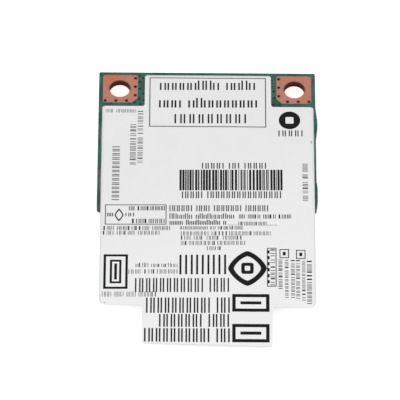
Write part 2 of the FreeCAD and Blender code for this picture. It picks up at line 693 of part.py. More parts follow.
def make_frame():
    """Soldered frame: walls on feet, a lip all round and one bar across."""
    body = new_body("shield_frame")
    plan = new_sketch(body, "Plan")
    add_box(plan, FRAME_WIDTH, FRAME_LENGTH)
    block = pad(body, "Block", plan, FRAME_HEIGHT)
    dress(body, "Fillet", "Corners", block, lambda edge, middle: is_upright(edge),
          "size.frame_corner_radius")
    inside = new_sketch(body, "Inside")
    add_box(inside, f"({FRAME_WIDTH} - 2 * size.frame_thickness)",
            f"({FRAME_LENGTH} - 2 * size.frame_thickness)")
    pocket(body, "Hollow", inside, f"{FRAME_HEIGHT} - size.frame_thickness", up=True)
    cut_frame_windows(body)
    for plane, axis, first, count in wall_rows("size.foot_end", "size.foot_gap", "size.foot_pitch"):
        gaps = new_sketch(body, f"Foot{plane[:2]}", plane)
        add_box(gaps, "size.foot_gap", "(2 * size.foot_height)", (first, "0"))
        cut = pocket(body, f"FootCut{plane[:2]}", gaps)
        row_of(body, f"FootRow{plane[:2]}", cut, axis, "size.foot_pitch", count)
    for plane, axis, first, count in wall_rows("size.snap_end", "0", "size.snap_pitch"):
        holes = new_sketch(body, f"Snap{plane[:2]}", plane)
        add_small_round(holes, (first, "size.snap_height"),
                        "(size.snap_diameter / 2 + size.snap_clearance)", DIMPLE_SIDES)
        cut = pocket(body, f"SnapCut{plane[:2]}", holes)
        row_of(body, f"SnapRow{plane[:2]}", cut, axis, "size.snap_pitch", count)
    seat_below(body, *LID_CENTRE)


def cut_frame_windows(body):
    """Open the top of the frame on both sides of its bar."""
    side = f"({FRAME_WIDTH} / 2 - size.frame_lip)"
    end = f"({FRAME_LENGTH} / 2 - size.frame_lip)"
    bar_left = "(size.frame_bar_offset - size.frame_bar / 2)"
    bar_right = "(size.frame_bar_offset + size.frame_bar / 2)"
    windows = new_sketch(body, "Windows")
    add_rectangle(windows, f"-{side}", bar_left, f"-{end}", end)
    add_rectangle(windows, bar_right, side, f"-{end}", end)
    opened = pocket(body, "Openings", windows)
    lip = value(f"{FRAME_HEIGHT} - size.frame_thickness / 2")
    inner = value(side) + NEARLY
    dress(body, "Fillet", "WindowCorners", opened, lambda edge, middle: is_upright(edge)
          and abs(middle.z - lip) < NEARLY and abs(middle.x) < inner, "size.window_radius")


# Antenna sockets

def make_socket(side, sign):
    """Coaxial antenna socket: moulded base, contact ring on its strap, and pin."""
    seat = (f"{sign} * size.socket_offset", SOCKET_Y)
    make_block(f"antenna_socket_base_{side}", "size.socket_base", "size.socket_base",
               "size.socket_base_height", seat)
    make_socket_ring(f"antenna_socket_ring_{side}", seat)
    pin = new_body(f"antenna_socket_pin_{side}")
    shaft = new_sketch(pin, "Shaft", lift="size.socket_base_height")
    add_circle(shaft, ("0", "0"), "size.socket_pin_diameter / 2")
    pad(pin, "Pin", shaft, "size.socket_pin_height - size.socket_base_height")
    seat_below(pin, *seat)


def make_socket_ring(label, seat):
    """Ring with a latch groove, standing on a strap that is folded over the base."""
    body = new_body(label)
    low = "size.socket_base_height"
    high = f"({low} + size.strap_thickness)"
    strap = new_sketch(body, "StrapSide", "YZ_Plane", "-size.strap_width / 2")
    side = "size.socket_base / 2"
    half = [(side, low), (side, "0"), (STRAP_REACH, "0"), (STRAP_REACH, "size.strap_thickness"),
            (STRAP_LEG, "size.strap_thickness"), (STRAP_LEG, high)]
    add_outline(strap, half + [(f"-{y}", z) for y, z in reversed(half)])
    pad(body, "Strap", strap, "size.strap_width")
    outer = "(size.socket_ring_diameter / 2)"
    inner = f"({outer} - size.socket_ring_wall)"
    waist = f"({outer} - size.socket_groove)"
    root = f"({waist} - size.socket_taper)"
    middle = f"(({high} + size.socket_height) / 2)"
    profile = new_sketch(body, "RingProfile", "XZ_Plane")
    add_outline(profile, [(inner, low), (root, low), (root, high), (waist, middle),
                          (outer, f"{middle} + size.socket_groove"), (outer, "size.socket_height"),
                          (inner, "size.socket_height")])
    turned = body.newObject("PartDesign::Revolution", "Ring")
    turned.Profile = profile
    turned.ReferenceAxis = (origin_part(body, "Z_Axis"), [""])
    turned.Angle = FULL_TURN
    finish(body, turned)
    opening = new_sketch(body, "Opening")
    add_circle(opening, ("0", "0"), inner)
    pocket(body, "StrapOpening", opening)
    seat_below(body, *seat)


# Chips and other parts under the shield

def make_chip(label, across, along, height, seat, mark=True):
    """Moulded chip on its solder pads, with a dot at its first pad."""
    body = new_body(label)
    plan = new_sketch(body, "Plan", lift="size.chip_standoff")
    add_box(plan, across, along)
    block = pad(body, "Moulding", plan, height)
    top = value(f"size.chip_standoff + {height}") - NEARLY
    dress(body, "Chamfer", "Edges", block, lambda edge, middle: middle.z > top, "size.chip_chamfer")
    if mark:
        dot = new_sketch(body, "Dot", lift=f"size.chip_standoff + {height}")
        corner = (f"(size.chip_mark_inset - {across} / 2)", f"({along} / 2 - size.chip_mark_inset)")
        add_small_round(dot, corner, "size.chip_mark_diameter / 2", DIMPLE_SIDES)
        pocket(body, "FirstPadDot", dot, "size.chip_mark_depth")
    seat_below(body, *seat)


def make_chip_pads(label, across, along, seat, all_round=True):
    """Solder pads along the four sides of a chip, or its two ends, and its heat pad."""
    body = new_body(label)
    long = "size.chip_pad_length"
    sides = [("Along", "Y_Axis", along, across)]
    corner = "size.chip_pad_corner"
    if all_round:
        sides.append(("Across", "X_Axis", across, along))
        corner = f"({corner} + {long})"
    for name, axis, side, other in sides:
        count = count_within(f"({side} - 2 * {corner})", "size.chip_pad_pitch")
        first = first_of_row("size.chip_pad_pitch", f"({count})")
        sketch = new_sketch(body, f"{name}Pads")
        for sign in (-1, 1):
            edge = f"{sign} * ({other} / 2 - {long} / 2)"
            if axis == "X_Axis":
                add_box(sketch, "size.chip_pad_width", long, (first, edge))
            else:
                add_box(sketch, long, "size.chip_pad_width", (edge, first))
        pair = pad(body, f"{name}Pair", sketch, "size.chip_standoff")
        row_of(body, f"{name}Row", pair, axis, "size.chip_pad_pitch", count)
    inset = f"(2 * ({long} + size.chip_slug_gap))"
    length = f"({along} - {inset})" if all_round else f"({along} - size.chip_pad_length)"
    middle = new_sketch(body, "HeatPad")
    add_box(middle, f"({across} - {inset})", length)
    pad(body, "Slug", middle, "size.chip_standoff")
    seat_below(body, *seat)


def make_block(label, across, along, height, seat, radius=None, lift="0"):
    """Plain moulded or sintered part, seated on the board or lifted above it."""
    body = new_body(label)
    plan = new_sketch(body, "Plan", lift=lift)
    add_box(plan, across, along)
    block = pad(body, "Block", plan, height)
    if radius:
        dress(body, "Fillet", "Corners", block, lambda edge, middle: is_upright(edge), radius)
    seat_below(body, *seat)


def make_radio_parts():
    """Radio chip, and a front end module and a filter for each antenna."""
    make_chip("radio_chip", "size.radio_size", "size.radio_size", "size.radio_height", RADIO)
    make_chip_pads("radio_chip_pads", "size.radio_size", "size.radio_size", RADIO)
    for side, sign in (("left", 1), ("right", -1)):
        seat = (f"{sign} * {MODULE_X}", MODULE_Y)
        make_chip(f"front_end_module_{side}", "size.module_size", "size.module_size",
                  "size.module_height", seat)
        make_chip_pads(f"front_end_pads_{side}", "size.module_size", "size.module_size", seat)
        make_block(f"antenna_filter_{side}", "size.filter_width", "size.filter_length",
                   "size.filter_height", (f"{sign} * {FILTER_X}", FILTER_Y))


def make_supply_parts():
    """Crystal, memory chip, regulator and power inductor."""
    crystal = (CRYSTAL_X, CRYSTAL_Y)
    inset = "2 * size.crystal_cap_inset"
    make_block("crystal_base", "size.crystal_length", "size.crystal_width",
               "size.crystal_base_height", crystal)
    make_block("crystal_cap", f"(size.crystal_length - {inset})", f"(size.crystal_width - {inset})",
               "size.crystal_cap_height", crystal, "size.crystal_radius", "size.crystal_base_height")
    make_block("power_inductor", "size.inductor_length", "size.inductor_width",
               "size.inductor_height", (CRYSTAL_X, INDUCTOR_Y), "size.inductor_radius")
    make_chip("memory_chip", "size.memory_length", "size.memory_width", "size.memory_height",
              (MEMORY_X, MEMORY_Y), mark=False)
    make_chip_pads("memory_chip_pads", "size.memory_length", "size.memory_width",
                   (MEMORY_X, MEMORY_Y), all_round=False)
    make_block("regulator_chip", "size.regulator_size", "size.regulator_size",
               "size.regulator_height", (MEMORY_X, REGULATOR_Y))


# Chip capacitors and resistors

def edge_row(name, sign):
    """The row by the tongue on one side of the card's middle."""
    count = count_within(f"({HALF_BOARD} - size.edge_row_end - size.edge_row_offset)",
                         "size.edge_row_pitch")
    if sign > 0:
        first = "size.edge_row_offset"
    else:
        first = f"(-size.edge_row_offset - ({count} - 1) * size.edge_row_pitch)"
    return (name, (first, EDGE_ROW_Y), False, "X_Axis", "size.edge_row_pitch", count)


def capacitor_rows():
    """Each row: name, first centre, length along X, step axis, pitch and count."""
    rows = [edge_row("Edge", 1)]
    start = first_of_row("size.match_pitch", "size.match_count")
    first = f"({RADIO_Y} - size.radio_size / 2 + size.passive_width / 2)"
    room = f"({MODULE_Y} - size.module_size / 2 - size.part_gap - size.passive_width / 2 - {first})"
    count = count_within(room, "size.column_pitch")
    for name, sign in (("Left", "-"), ("Right", "+")):
        match = (f"({sign} size.socket_offset + {start})", MATCH_Y)
        rows.append((f"Match{name}", match, False, "X_Axis", "size.match_pitch", "size.match_count"))
        beside = (f"(size.radio_offset {sign} {COLUMN_SHIFT})", first)
        rows.append((f"Column{name}", beside, True, "Y_Axis", "size.column_pitch", count))
    return rows


def resistor_rows():
    """The same for the resistors."""
    count = count_within("size.radio_size", "size.chip_row_pitch")
    start = first_of_row("size.chip_row_pitch", f"({count})")
    chip_row = ("Chip", (f"(size.radio_offset + {start})", CHIP_ROW_Y), False, "X_Axis",
                "size.chip_row_pitch", count)
    return [edge_row("Edge", -1), chip_row]


def draw_passive(sketch, centre, lengthwise, piece):
    """Draw the ceramic middle or the two metal ends of a chip part."""
    x, y = centre
    shift = "(size.passive_length - size.terminal_length) / 2"
    spans = [("size.terminal_length", f"-{shift}"), ("size.terminal_length", f"+{shift}")]
    if piece == "bodies":
        spans = [("(size.passive_length - 2 * size.terminal_length)", "")]
    for length, move in spans:
        if lengthwise:
            add_box(sketch, length, "size.passive_width", (f"({x} {move})", y))
        else:
            add_box(sketch, "size.passive_width", length, (x, f"({y} {move})"))


def make_passives(kind, rows, height):
    """Rows of chip parts: one node for the bodies and one for the ends."""
    for piece in ("bodies", "terminals"):
        body = new_body(f"{kind}_{piece}")
        for name, centre, lengthwise, axis, pitch, count in rows:
            sketch = new_sketch(body, f"{name}Plan")
            draw_passive(sketch, centre, lengthwise, piece)
            first = pad(body, f"{name}Part", sketch, height)
            row_of(body, f"{name}Row", first, axis, pitch, count)
        seat_below(body)


# Whole card

def check_model():
    """Stop if any object of the document failed or gave a bad shape."""
    for item in doc.Objects:
        if "Invalid" in item.State or "Error" in item.State:
            raise RuntimeError(f"{item.Label}: {item.State}")
    for piece in pieces:
        if piece.Shape.isNull() or not piece.Shape.isValid():
            raise RuntimeError(f"{piece.Label}: bad shape")


def write_parts():
    os.makedirs("parts", exist_ok=True)
    for piece in pieces:
        piece.Shape.exportStep(os.path.join("parts", f"{piece.Label}.step"))
        print(piece.Label, len(piece.Shape.Solids), round(piece.Shape.Volume, DIGITS))


def main():
    fill_sheet()
    make_board()
    make_screw_pad("mounting_pad_left", -1)
    make_screw_pad("mounting_pad_right", 1)
    make_contacts("label")
    make_contacts("component")
    make_label()
    make_lid()
    make_frame()
    make_socket("left", 1)
    make_socket("right", -1)
    make_radio_parts()
    make_supply_parts()
    make_passives("capacitor", capacitor_rows(), "size.capacitor_height")
    make_passives("resistor", resistor_rows(), "size.resistor_height")
    doc.recompute()
    check_model()
    write_parts()


main()
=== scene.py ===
"""Looks of a half-height laptop wireless card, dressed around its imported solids."""

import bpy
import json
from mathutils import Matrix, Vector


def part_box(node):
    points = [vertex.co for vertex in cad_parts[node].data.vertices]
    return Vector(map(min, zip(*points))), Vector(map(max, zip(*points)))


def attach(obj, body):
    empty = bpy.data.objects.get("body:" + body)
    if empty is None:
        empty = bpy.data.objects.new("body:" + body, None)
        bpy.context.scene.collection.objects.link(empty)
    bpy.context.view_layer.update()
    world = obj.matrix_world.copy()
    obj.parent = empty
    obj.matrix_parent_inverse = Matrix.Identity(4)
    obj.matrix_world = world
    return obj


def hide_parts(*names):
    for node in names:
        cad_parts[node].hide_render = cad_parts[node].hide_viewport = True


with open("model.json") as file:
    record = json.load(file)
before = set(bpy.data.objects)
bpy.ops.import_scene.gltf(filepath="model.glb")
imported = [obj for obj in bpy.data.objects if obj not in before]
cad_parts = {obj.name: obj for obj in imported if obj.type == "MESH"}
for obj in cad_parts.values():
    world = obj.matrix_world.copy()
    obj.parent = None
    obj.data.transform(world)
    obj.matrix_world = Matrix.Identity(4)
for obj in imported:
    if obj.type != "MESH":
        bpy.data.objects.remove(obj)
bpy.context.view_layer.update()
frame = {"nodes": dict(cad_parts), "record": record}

import collections
import json
import math

import bmesh
import bpy
import numpy as np
from mathutils import Matrix, Vector

bl_info = {
    "name": "Laptop wireless card",
    "version": (1, 0, 0),
    "blender": (4, 5, 0),
    "location": "View3D > Sidebar > Wireless card",
    "description": "Dresses the solids of a laptop wireless card with paper, print, mask and metal",
    "category": "Object",
}

# Stock values, in millimetres where they are lengths

MM = 0.001
WELD = 0.0005
NEARLY = 0.0001
TOUCH = 0.01
PLACES = 5
SEAT = 0.015
BODY = "root"
NODES = frame["nodes"]

# Room

CAMERA_SENSOR = 36.0
# The camera's nearest distance and each lamp's side and place are in metres.
CLIP_START = 0.01
FLOOR_GLOW = 0.55
LAMPS = [("key", 0.35, (-0.10, -0.17, 0.41)), ("fill", 0.30, (0.28, -0.12, 0.33))]

# Paper sheet

SHEET_STEP = 0.6
CORNER_STEPS = 5
WAVE_GROWTH = 1.6
WAVE_ACROSS = 3.1
WAVE_ALONG = 4.3
WAVE_SLANT = 9.0
WAVE_START = 0.6
# Painted light makes the free end paler: none at the first height of y - lean * x, and full at the second.
PAPER_PAINTED_LIGHT = (-12.0, -26.0)
PAPER_PAINTED_LIGHT_LEAN = 0.4
# Specks and spots are x, y, radius and stretch along the card.
PAPER_SPECKS = [(14.35, -9.1, 0.16, 2.2), (-13.7, -35.85, 0.14, 1.0)]

# Print in general

SEED = 41
INK_RISE = 0.012
INK_SINK = 0.02
GREY_INK = 3.2
SMALL_INK = 1.2
GROUP_GAP = 0.75
CELL_FILL = 0.8
CELL_HEIGHTS = (1.0, 0.75, 0.75)
INK_SHARE = 0.45
FINE_STROKE = 0.11
FINE_COUNTS = (1, 2, 2, 3)
BAR_WIDTHS = (1, 2, 3, 3)
GAP_WIDTHS = (1, 1, 2)
BAR_COUNT = 40
PRINT_SLANT = 0.009
FLAP_SLANT = 0.013
FLAP_REACH = 18.0
OUTLINE_STEPS = 64
BAND_STEPS = 2

# Circuit board and copper pads

BOARD_EDGE = 15.0
EDGE_SKIN = 0.035
EDGE_SWELL = (-20.1, -15.7, 0.14)
SWELL_ROOT = 14.96
SWELL_INSIDE = 0.2
SWELL_STEPS = 13
SWELL_DEPTH = 0.01
STRIP_SPOTS = [(-14.46, -8.2, 0.24, 9.0), (-14.44, -15.8, 0.26, 11.0)]
STRIP_PINK = (0.34, 0.17, 0.15)
TRACK_TONE = 1.45
PLUG_TONE = 0.16
# Patches are x, y, radius and share.
COPPER_PATCHES = [(-13.6, 1.9, 2.6, 0.95), (-12.2, -1.9, 1.2, 0.4),
                  (12.3, 2.0, 1.6, 0.5), (13.6, -1.6, 1.3, 0.4)]
WALL_SKIN = 0.055
# Colours inside the screw hole: brown oxide with painted shade near its top, and painted shade deep down.
WALL_DEEP_SHADE = (0.018, 0.006, 0.004)
WALL_OXIDE_AND_SHADE = (0.115, 0.034, 0.022)
# Painted shade on the far half of the screw hole's lip: its colour, its outer radius, and the y range over
# which it fades in.
LIP_PAINTED_SHADE = (0.060, 0.016, 0.011)
LIP_SHADE_REACH = 1.59
LIP_SHADE_FADE = (-0.9, 0.2)
RIM_TAN = (0.36, 0.30, 0.235)
RIM_POWER = 14
RIM_START = 0.45
RIM_FULL = 0.9
RIM_END = 1.2
# A pad has a line of vias beside its near edge and one beside its inner edge.
VIA_COUNT = 3
VIA_PITCH = 1.48
VIA_MARGIN = 0.34
VIA_FAR_MARGIN = 0.54
VIA_RING = (0.16, 0.33)
VIA_BROWN = (0.17, 0.062, 0.022)

# Small things on the board

ROUND_SIDES = 14
VIA_RADIUS = 0.2
VIA_RISE = 0.03
# Radius and height of a via's domed plug, as shares of the via's own.
VIA_DOME = [(1, 0.4), (0.8, 1), (0.5, 1), (0.25, 0.2), (0, 0.1)]
LABEL_SIDE_VIAS = [
    (-9.33, 2.33), (-9.32, 1.28), (-9.35, 0.05), (-9.40, -1.69), (-10.03, -2.34), (-9.24, -2.63),
    (-8.84, 1.88), (-8.81, -0.81), (-8.73, -1.95), (9.27, -0.26), (9.28, -1.41), (10.12, -2.68),
    (9.22, -2.58), (8.91, 1.68), (8.91, 1.15), (8.92, 0.63),
]
SOCKET_PLACE = 6.3
SIDE_VIA_PLACE = 14.2
SIDE_VIA_LINE = (-16.8, -4.2, 1.4)
FEED_VIA_STEP = 0.75
FEED_VIA_LINES = (-1.35, -2.55)
MIDDLE_VIA_LINE = (-2.1, 2.1, 0.7)
MIDDLE_VIA_PLACE = -1.2
TRACK_RISE = 0.03
TRACK_WIDTH = 0.2
TRACK_TURN = 0.22
TRACK_START = 0.1
TRACK_STRAIGHT = 0.35
TRACK_END = 0.32
FEED_WIDTH = 0.42
FEED_STOPS = (-0.6, -1.2, -2.4)
LAND_RISE = 0.012
LAND_MARGIN = 0.3
LAND_WIDTH = 0.6
SPOT_RADIUS = 0.5
SPOT_RISE = 0.02
SPOT_SIDES = 24
ALIGNMENT_SPOTS = [(-9.1, 2.3), (9.1, 2.3), (14.1, -19.6)]
TEST_PAD_RADIUS = 0.35
TEST_PAD_SIDES = 20
TEST_PADS = [
    (-13.9, -3.0), (-12.6, -3.0), (-8.6, -2.1), (8.6, -2.1), (12.7, -3.0), (13.9, -3.0),
    (14.3, -18.3), (-14.3, -19.4), (13.6, -19.7), (-1.4, -2.3), (0.0, -2.3), (1.4, -2.3),
]
PRINT_RISE = 0.018
OUTLINE_STROKE = 0.12
# Outer and inner reach of the corners round a socket, and the outline's near and far ends.
SOCKET_OUTLINE = (1.62, 0.95, -0.65, 2.35)
MIDDLE_OUTLINE = (-3.4, 3.4, -0.3, 2.2)
TICK_PLACES = (-12.6, -11.4, 11.4, 12.6)
TICK = (-0.22, 0.22, -3.02, -2.92)
CORNER_BLOCKS = [(-14.6, -14.0, -18.5, -17.9), (-14.55, -14.05, -3.5, -3.38)]

# Solder

WEDGE_STEPS = 5
WEDGE_STATIONS = 7
# Reach and rise of each kind of wedge.
PART_WEDGE = (0.16, 0.24)
SHIELD_WEDGE = (0.14, 0.16)
SOCKET_WEDGE = (0.14, 0.1)


def corners(node):
    """Lowest and highest corners of a solid, in millimetres."""
    low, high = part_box(node)
    return np.array(low) / MM, np.array(high) / MM


BOARD_LOW, BOARD_HIGH = corners("circuit_board")
LABEL_LOW, LABEL_HIGH = corners("label")
LID_LOW, LID_HIGH = corners("shield_lid")
TIP = BOARD_LOW[1]
LABEL_THICK = LABEL_HIGH[2]
BOARD_THICK = -BOARD_LOW[2]
FLOOR_HEIGHT = LID_LOW[2]
HOLES = next(mount for mount in frame["record"]["mounts"] if mount["name"] == "screw_holes")
HOLE_PLACE = HOLES["dims"]["spacing_x_mm"] / 2
HOLE_RADIUS = HOLES["dims"]["hole_r_mm"]


# Sizes and colours that a user would change

def length(name, amount, text):
    """A length in millimetres."""
    return bpy.props.FloatProperty(name=name, default=amount, description=text + ", in millimetres")


def angle(name, degrees, text):
    """An angle, stored in radians."""
    return bpy.props.FloatProperty(name=name, default=math.radians(degrees), subtype="ANGLE",
                                   description=text)


def brightness(name, amount, text, unit="NONE"):
    """A strength or a power of light."""
    return bpy.props.FloatProperty(name=name, default=amount, min=0.0, unit=unit, description=text)


def tint(name, colour, text):
    """A colour in plain sRGB values from 0 to 1."""
    return bpy.props.FloatVectorProperty(name=name, size=3, default=colour, min=0.0, max=1.0,
                                         subtype="COLOR_GAMMA", description=text)


class StageSettings(bpy.types.PropertyGroup):
    """Camera, floor and light."""
    pitch: angle("Pitch", 53.902, "How far the camera looks down")
    yaw: angle("Yaw", 0.526, "How far the camera looks to the right of +Y")
    roll: angle("Roll", 0.844, "How far the camera leans")
    target_x: length("Target X", -0.930, "Point of the board that the camera looks at")
    target_y: length("Target Y", -18.985, "Point of the board that the camera looks at")
    distance: length("Distance", 612.0, "Camera to its target")
    lens: length("Lens", 404.15, "Focal length for a 36 mm sensor")
    floor_size: length("Floor size", 4000.0, "Side of the square floor")
    floor_white: tint("Floor colour", (0.97, 0.97, 0.97), "Colour of the floor away from the camera")
    world_strength: brightness("World strength", 0.68, "Light from all around")
    key_energy: brightness("Key light", 0.58, "Power of the large lamp overhead", "POWER")
    fill_energy: brightness("Fill light", 0.22, "Power of the lamp at the side", "POWER")


class PaperSettings(bpy.types.PropertyGroup):
    """Paper label."""
    droop_left: length("Droop at the left", 1.1, "Fall of the free end at its left corner")
    droop_right: length("Droop at the right", 2.2, "Fall of the free end at its right corner")
    overhang: length("Overhang", 18.0, "Paper past the tip of the connector")
    tab_width: length("Tab width", 17.5, "Narrow far and near ends")
    far_tab: length("Far tab", 5.4, "Length of the far tab")
    near_tab: length("Near tab", 5.75, "Length of the near tab")
    wing_radius: length("Wing corner", 0.9, "Corners of the near wings")
    corner_radius: length("Other corners", 0.35, "All the other corners")
    ripple: length("Ripple", 0.02, "Height of the paper's slight waves")
    colour: tint("Paper", (0.925, 0.925, 0.925), "White paper")
    ink: tint("Ink", (0.085, 0.085, 0.09), "Black print")


class BoardSettings(bpy.types.PropertyGroup):
    """Circuit board and its metal."""
    mask: tint("Solder mask", (0.115, 0.30, 0.265), "Mask over bare laminate")
    mask_copper: tint("Mask over copper", (0.19, 0.40, 0.36), "Mask over a copper area")
    copper: tint("Copper", (0.865, 0.592, 0.512), "Bare copper with its tarnish")
    gold: tint("Gold", (0.90, 0.72, 0.38), "Gold plating")
    tin: tint("Tin", (0.77, 0.77, 0.75), "Tinned sheet and solder")
    moulding: tint("Moulding", (0.075, 0.075, 0.08), "Black moulding compound")


# Stock maths

def linear(colour):
    """sRGB values as the linear values that a shader takes."""
    value = np.array(colour, float)
    low = value / 12.92
    high = ((value + 0.055) / 1.055) ** 2.4
    return tuple(np.where(value <= 0.04045, low, high))


def spread(stops, step):
    """Points that run through all the stops, with no gap wider than a step."""
    spans = [np.linspace(start, end, max(2, math.ceil((end - start) / step) + 1))[:-1]
             for start, end in zip(stops[:-1], stops[1:])]
    return np.concatenate(spans + [stops[-1:]])


def quads(rows, columns, wrap=False, close=False):
    """Corner numbers of the faces of a grid whose points are numbered row by row.

    A wrapped grid joins its last row to its first, and a closed one its columns too."""
    across = np.arange(rows if wrap else rows - 1)[:, None]
    along = np.arange(columns if close else columns - 1)[None, :]
    after, beside = (across + 1) % rows, (along + 1) % columns
    loop = [across * columns + along, after * columns + along,
            after * columns + beside, across * columns + beside]
    return np.stack(np.broadcast_arrays(*loop), -1).reshape(-1, 4)


def put_piece(name, points, faces, finish, slot, weld=True, smooth=True, closed=True):
    """Make a piece from points in millimetres, with faces that point outwards."""
    mesh = bpy.data.meshes.new(name)
    mesh.from_pydata((points.reshape(-1, 3) * MM).tolist(), [], faces.tolist())
    shape = bmesh.new()
    shape.from_mesh(mesh)
    if weld:
        bmesh.ops.remove_doubles(shape, verts=shape.verts, dist=WELD * MM)
        bmesh.ops.dissolve_degenerate(shape, edges=shape.edges, dist=WELD * MM)
    if closed:
        bmesh.ops.recalc_face_normals(shape, faces=shape.faces)
    shape.to_mesh(mesh)
    shape.free()
    if smooth:
        mesh.shade_smooth()
    mesh.materials.append(finish)
    piece = bpy.data.objects.new(name, mesh)
    bpy.context.scene.collection.objects.link(piece)
    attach(piece, BODY)
    return piece


def slabs(plan, height, rise, sink):
    """Closed thin slabs that lie on a surface.

    The plan holds x and y for each slab's grid of points. A slab's top is the surface's
    height plus its rise, and its underside is the same height less its sink."""
    count, rows, columns = plan.shape[:3]
    base = height(plan[..., 0], plan[..., 1])
    top = np.concatenate([plan, (base + rise)[..., None]], -1).reshape(count, -1, 3)
    under = np.concatenate([plan, (base - sink)[..., None]], -1).reshape(count, -1, 3)
    grid = quads(rows, columns)
    lower = rows * columns
    rim = np.concatenate([np.arange(columns), np.arange(1, rows) * columns + columns - 1,
                          lower - 2 - np.arange(columns - 1),
                          (rows - 2 - np.arange(rows - 2)) * columns])
    turned = np.roll(rim, -1)
    wall = np.stack([rim, turned, turned + lower, rim + lower], -1)
    faces = np.concatenate([grid, grid[:, ::-1] + lower, wall])
    shift = 2 * lower * np.arange(count)[:, None, None]
    return np.concatenate([top, under], 1).reshape(-1, 3), (faces + shift).reshape(-1, 4)


def joined(shapes):
    """Several sets of points and faces as one set."""
    counts = np.cumsum([0] + [len(points) for points, faces in shapes])
    points = np.concatenate([points for points, faces in shapes])
    return points, np.concatenate([faces + start for (_, faces), start in zip(shapes, counts)])


def put_flat(name, shapes, finish, slot):
    """Make a piece of flat-sided slabs and bands."""
    return put_piece(name, *joined(shapes), finish, slot, weld=False, smooth=False)


def turned_solids(centres, profile, sides):
    """Solids of revolution: a profile of radius and height turned about each centre."""
    turn = math.tau * np.arange(sides) / sides
    ring = np.stack([np.cos(turn), np.sin(turn)], -1)
    plan = ring[:, None, :] * profile[None, :, :1]
    height = np.broadcast_to(profile[None, :, 1:], (sides, len(profile), 1))
    solid = np.concatenate([plan, height], -1).reshape(-1, 3)
    points = np.array(centres)[:, None, :] + solid[None]
    shift = len(solid) * np.arange(len(centres))[:, None, None]
    return points.reshape(-1, 3), (quads(sides, len(profile), wrap=True) + shift).reshape(-1, 4)


def islands(node, level=None):
    """Boxes of a node's separate solids, or of its flat faces at a level, as their corners."""
    mesh = NODES[node].data
    spots = np.empty(len(mesh.vertices) * 3, np.float32)
    mesh.vertices.foreach_get("co", spots)
    spots = spots.reshape(-1, 3) / MM
    places, same = np.unique(np.round(spots, 3), axis=0, return_inverse=True)
    mesh.calc_loop_triangles()
    sides = np.empty(len(mesh.loop_triangles) * 3, np.int32)
    mesh.loop_triangles.foreach_get("vertices", sides)
    sides = same.reshape(-1)[sides].reshape(-1, 3)
    if level is not None:
        flat = (np.abs(places[:, 2] - level) < NEARLY)[sides].all(-1)
        sides = sides[flat]
    label = np.arange(same.max() + 1)
    changed = True
    while changed:
        least = label[sides].min(1)
        before = label.copy()
        for corner in range(3):
            np.minimum.at(label, sides[:, corner], least)
        changed = not np.array_equal(before, label)
    owner = label[same.reshape(-1)]
    groups = [spots[owner == number] for number in np.unique(label[np.unique(sides)])]
    return np.array([[group.min(0), group.max(0)] for group in groups])


# Materials

def arithmetic(operation, turned=False):
    """A Math node's operation as a method of Wire, with its two sides turned round if asked."""
    def method(wire, other=0.0):
        sides = (other, wire) if turned else (wire, other)
        return wire.finish.node("ShaderNodeMath", {"operation": operation}, dict(enumerate(sides)))
    return method


class Wire:
    """An output of a material's node, with the arithmetic that Math nodes do."""

    def __init__(self, finish, socket):
        self.finish = finish
        self.socket = socket

    __add__, __radd__ = arithmetic("ADD"), arithmetic("ADD", turned=True)
    __sub__, __rsub__ = arithmetic("SUBTRACT"), arithmetic("SUBTRACT", turned=True)
    __mul__, __rmul__ = arithmetic("MULTIPLY"), arithmetic("MULTIPLY", turned=True)
    __gt__, __lt__ = arithmetic("GREATER_THAN"), arithmetic("LESS_THAN")
    __pow__, __abs__ = arithmetic("POWER"), arithmetic("ABSOLUTE")


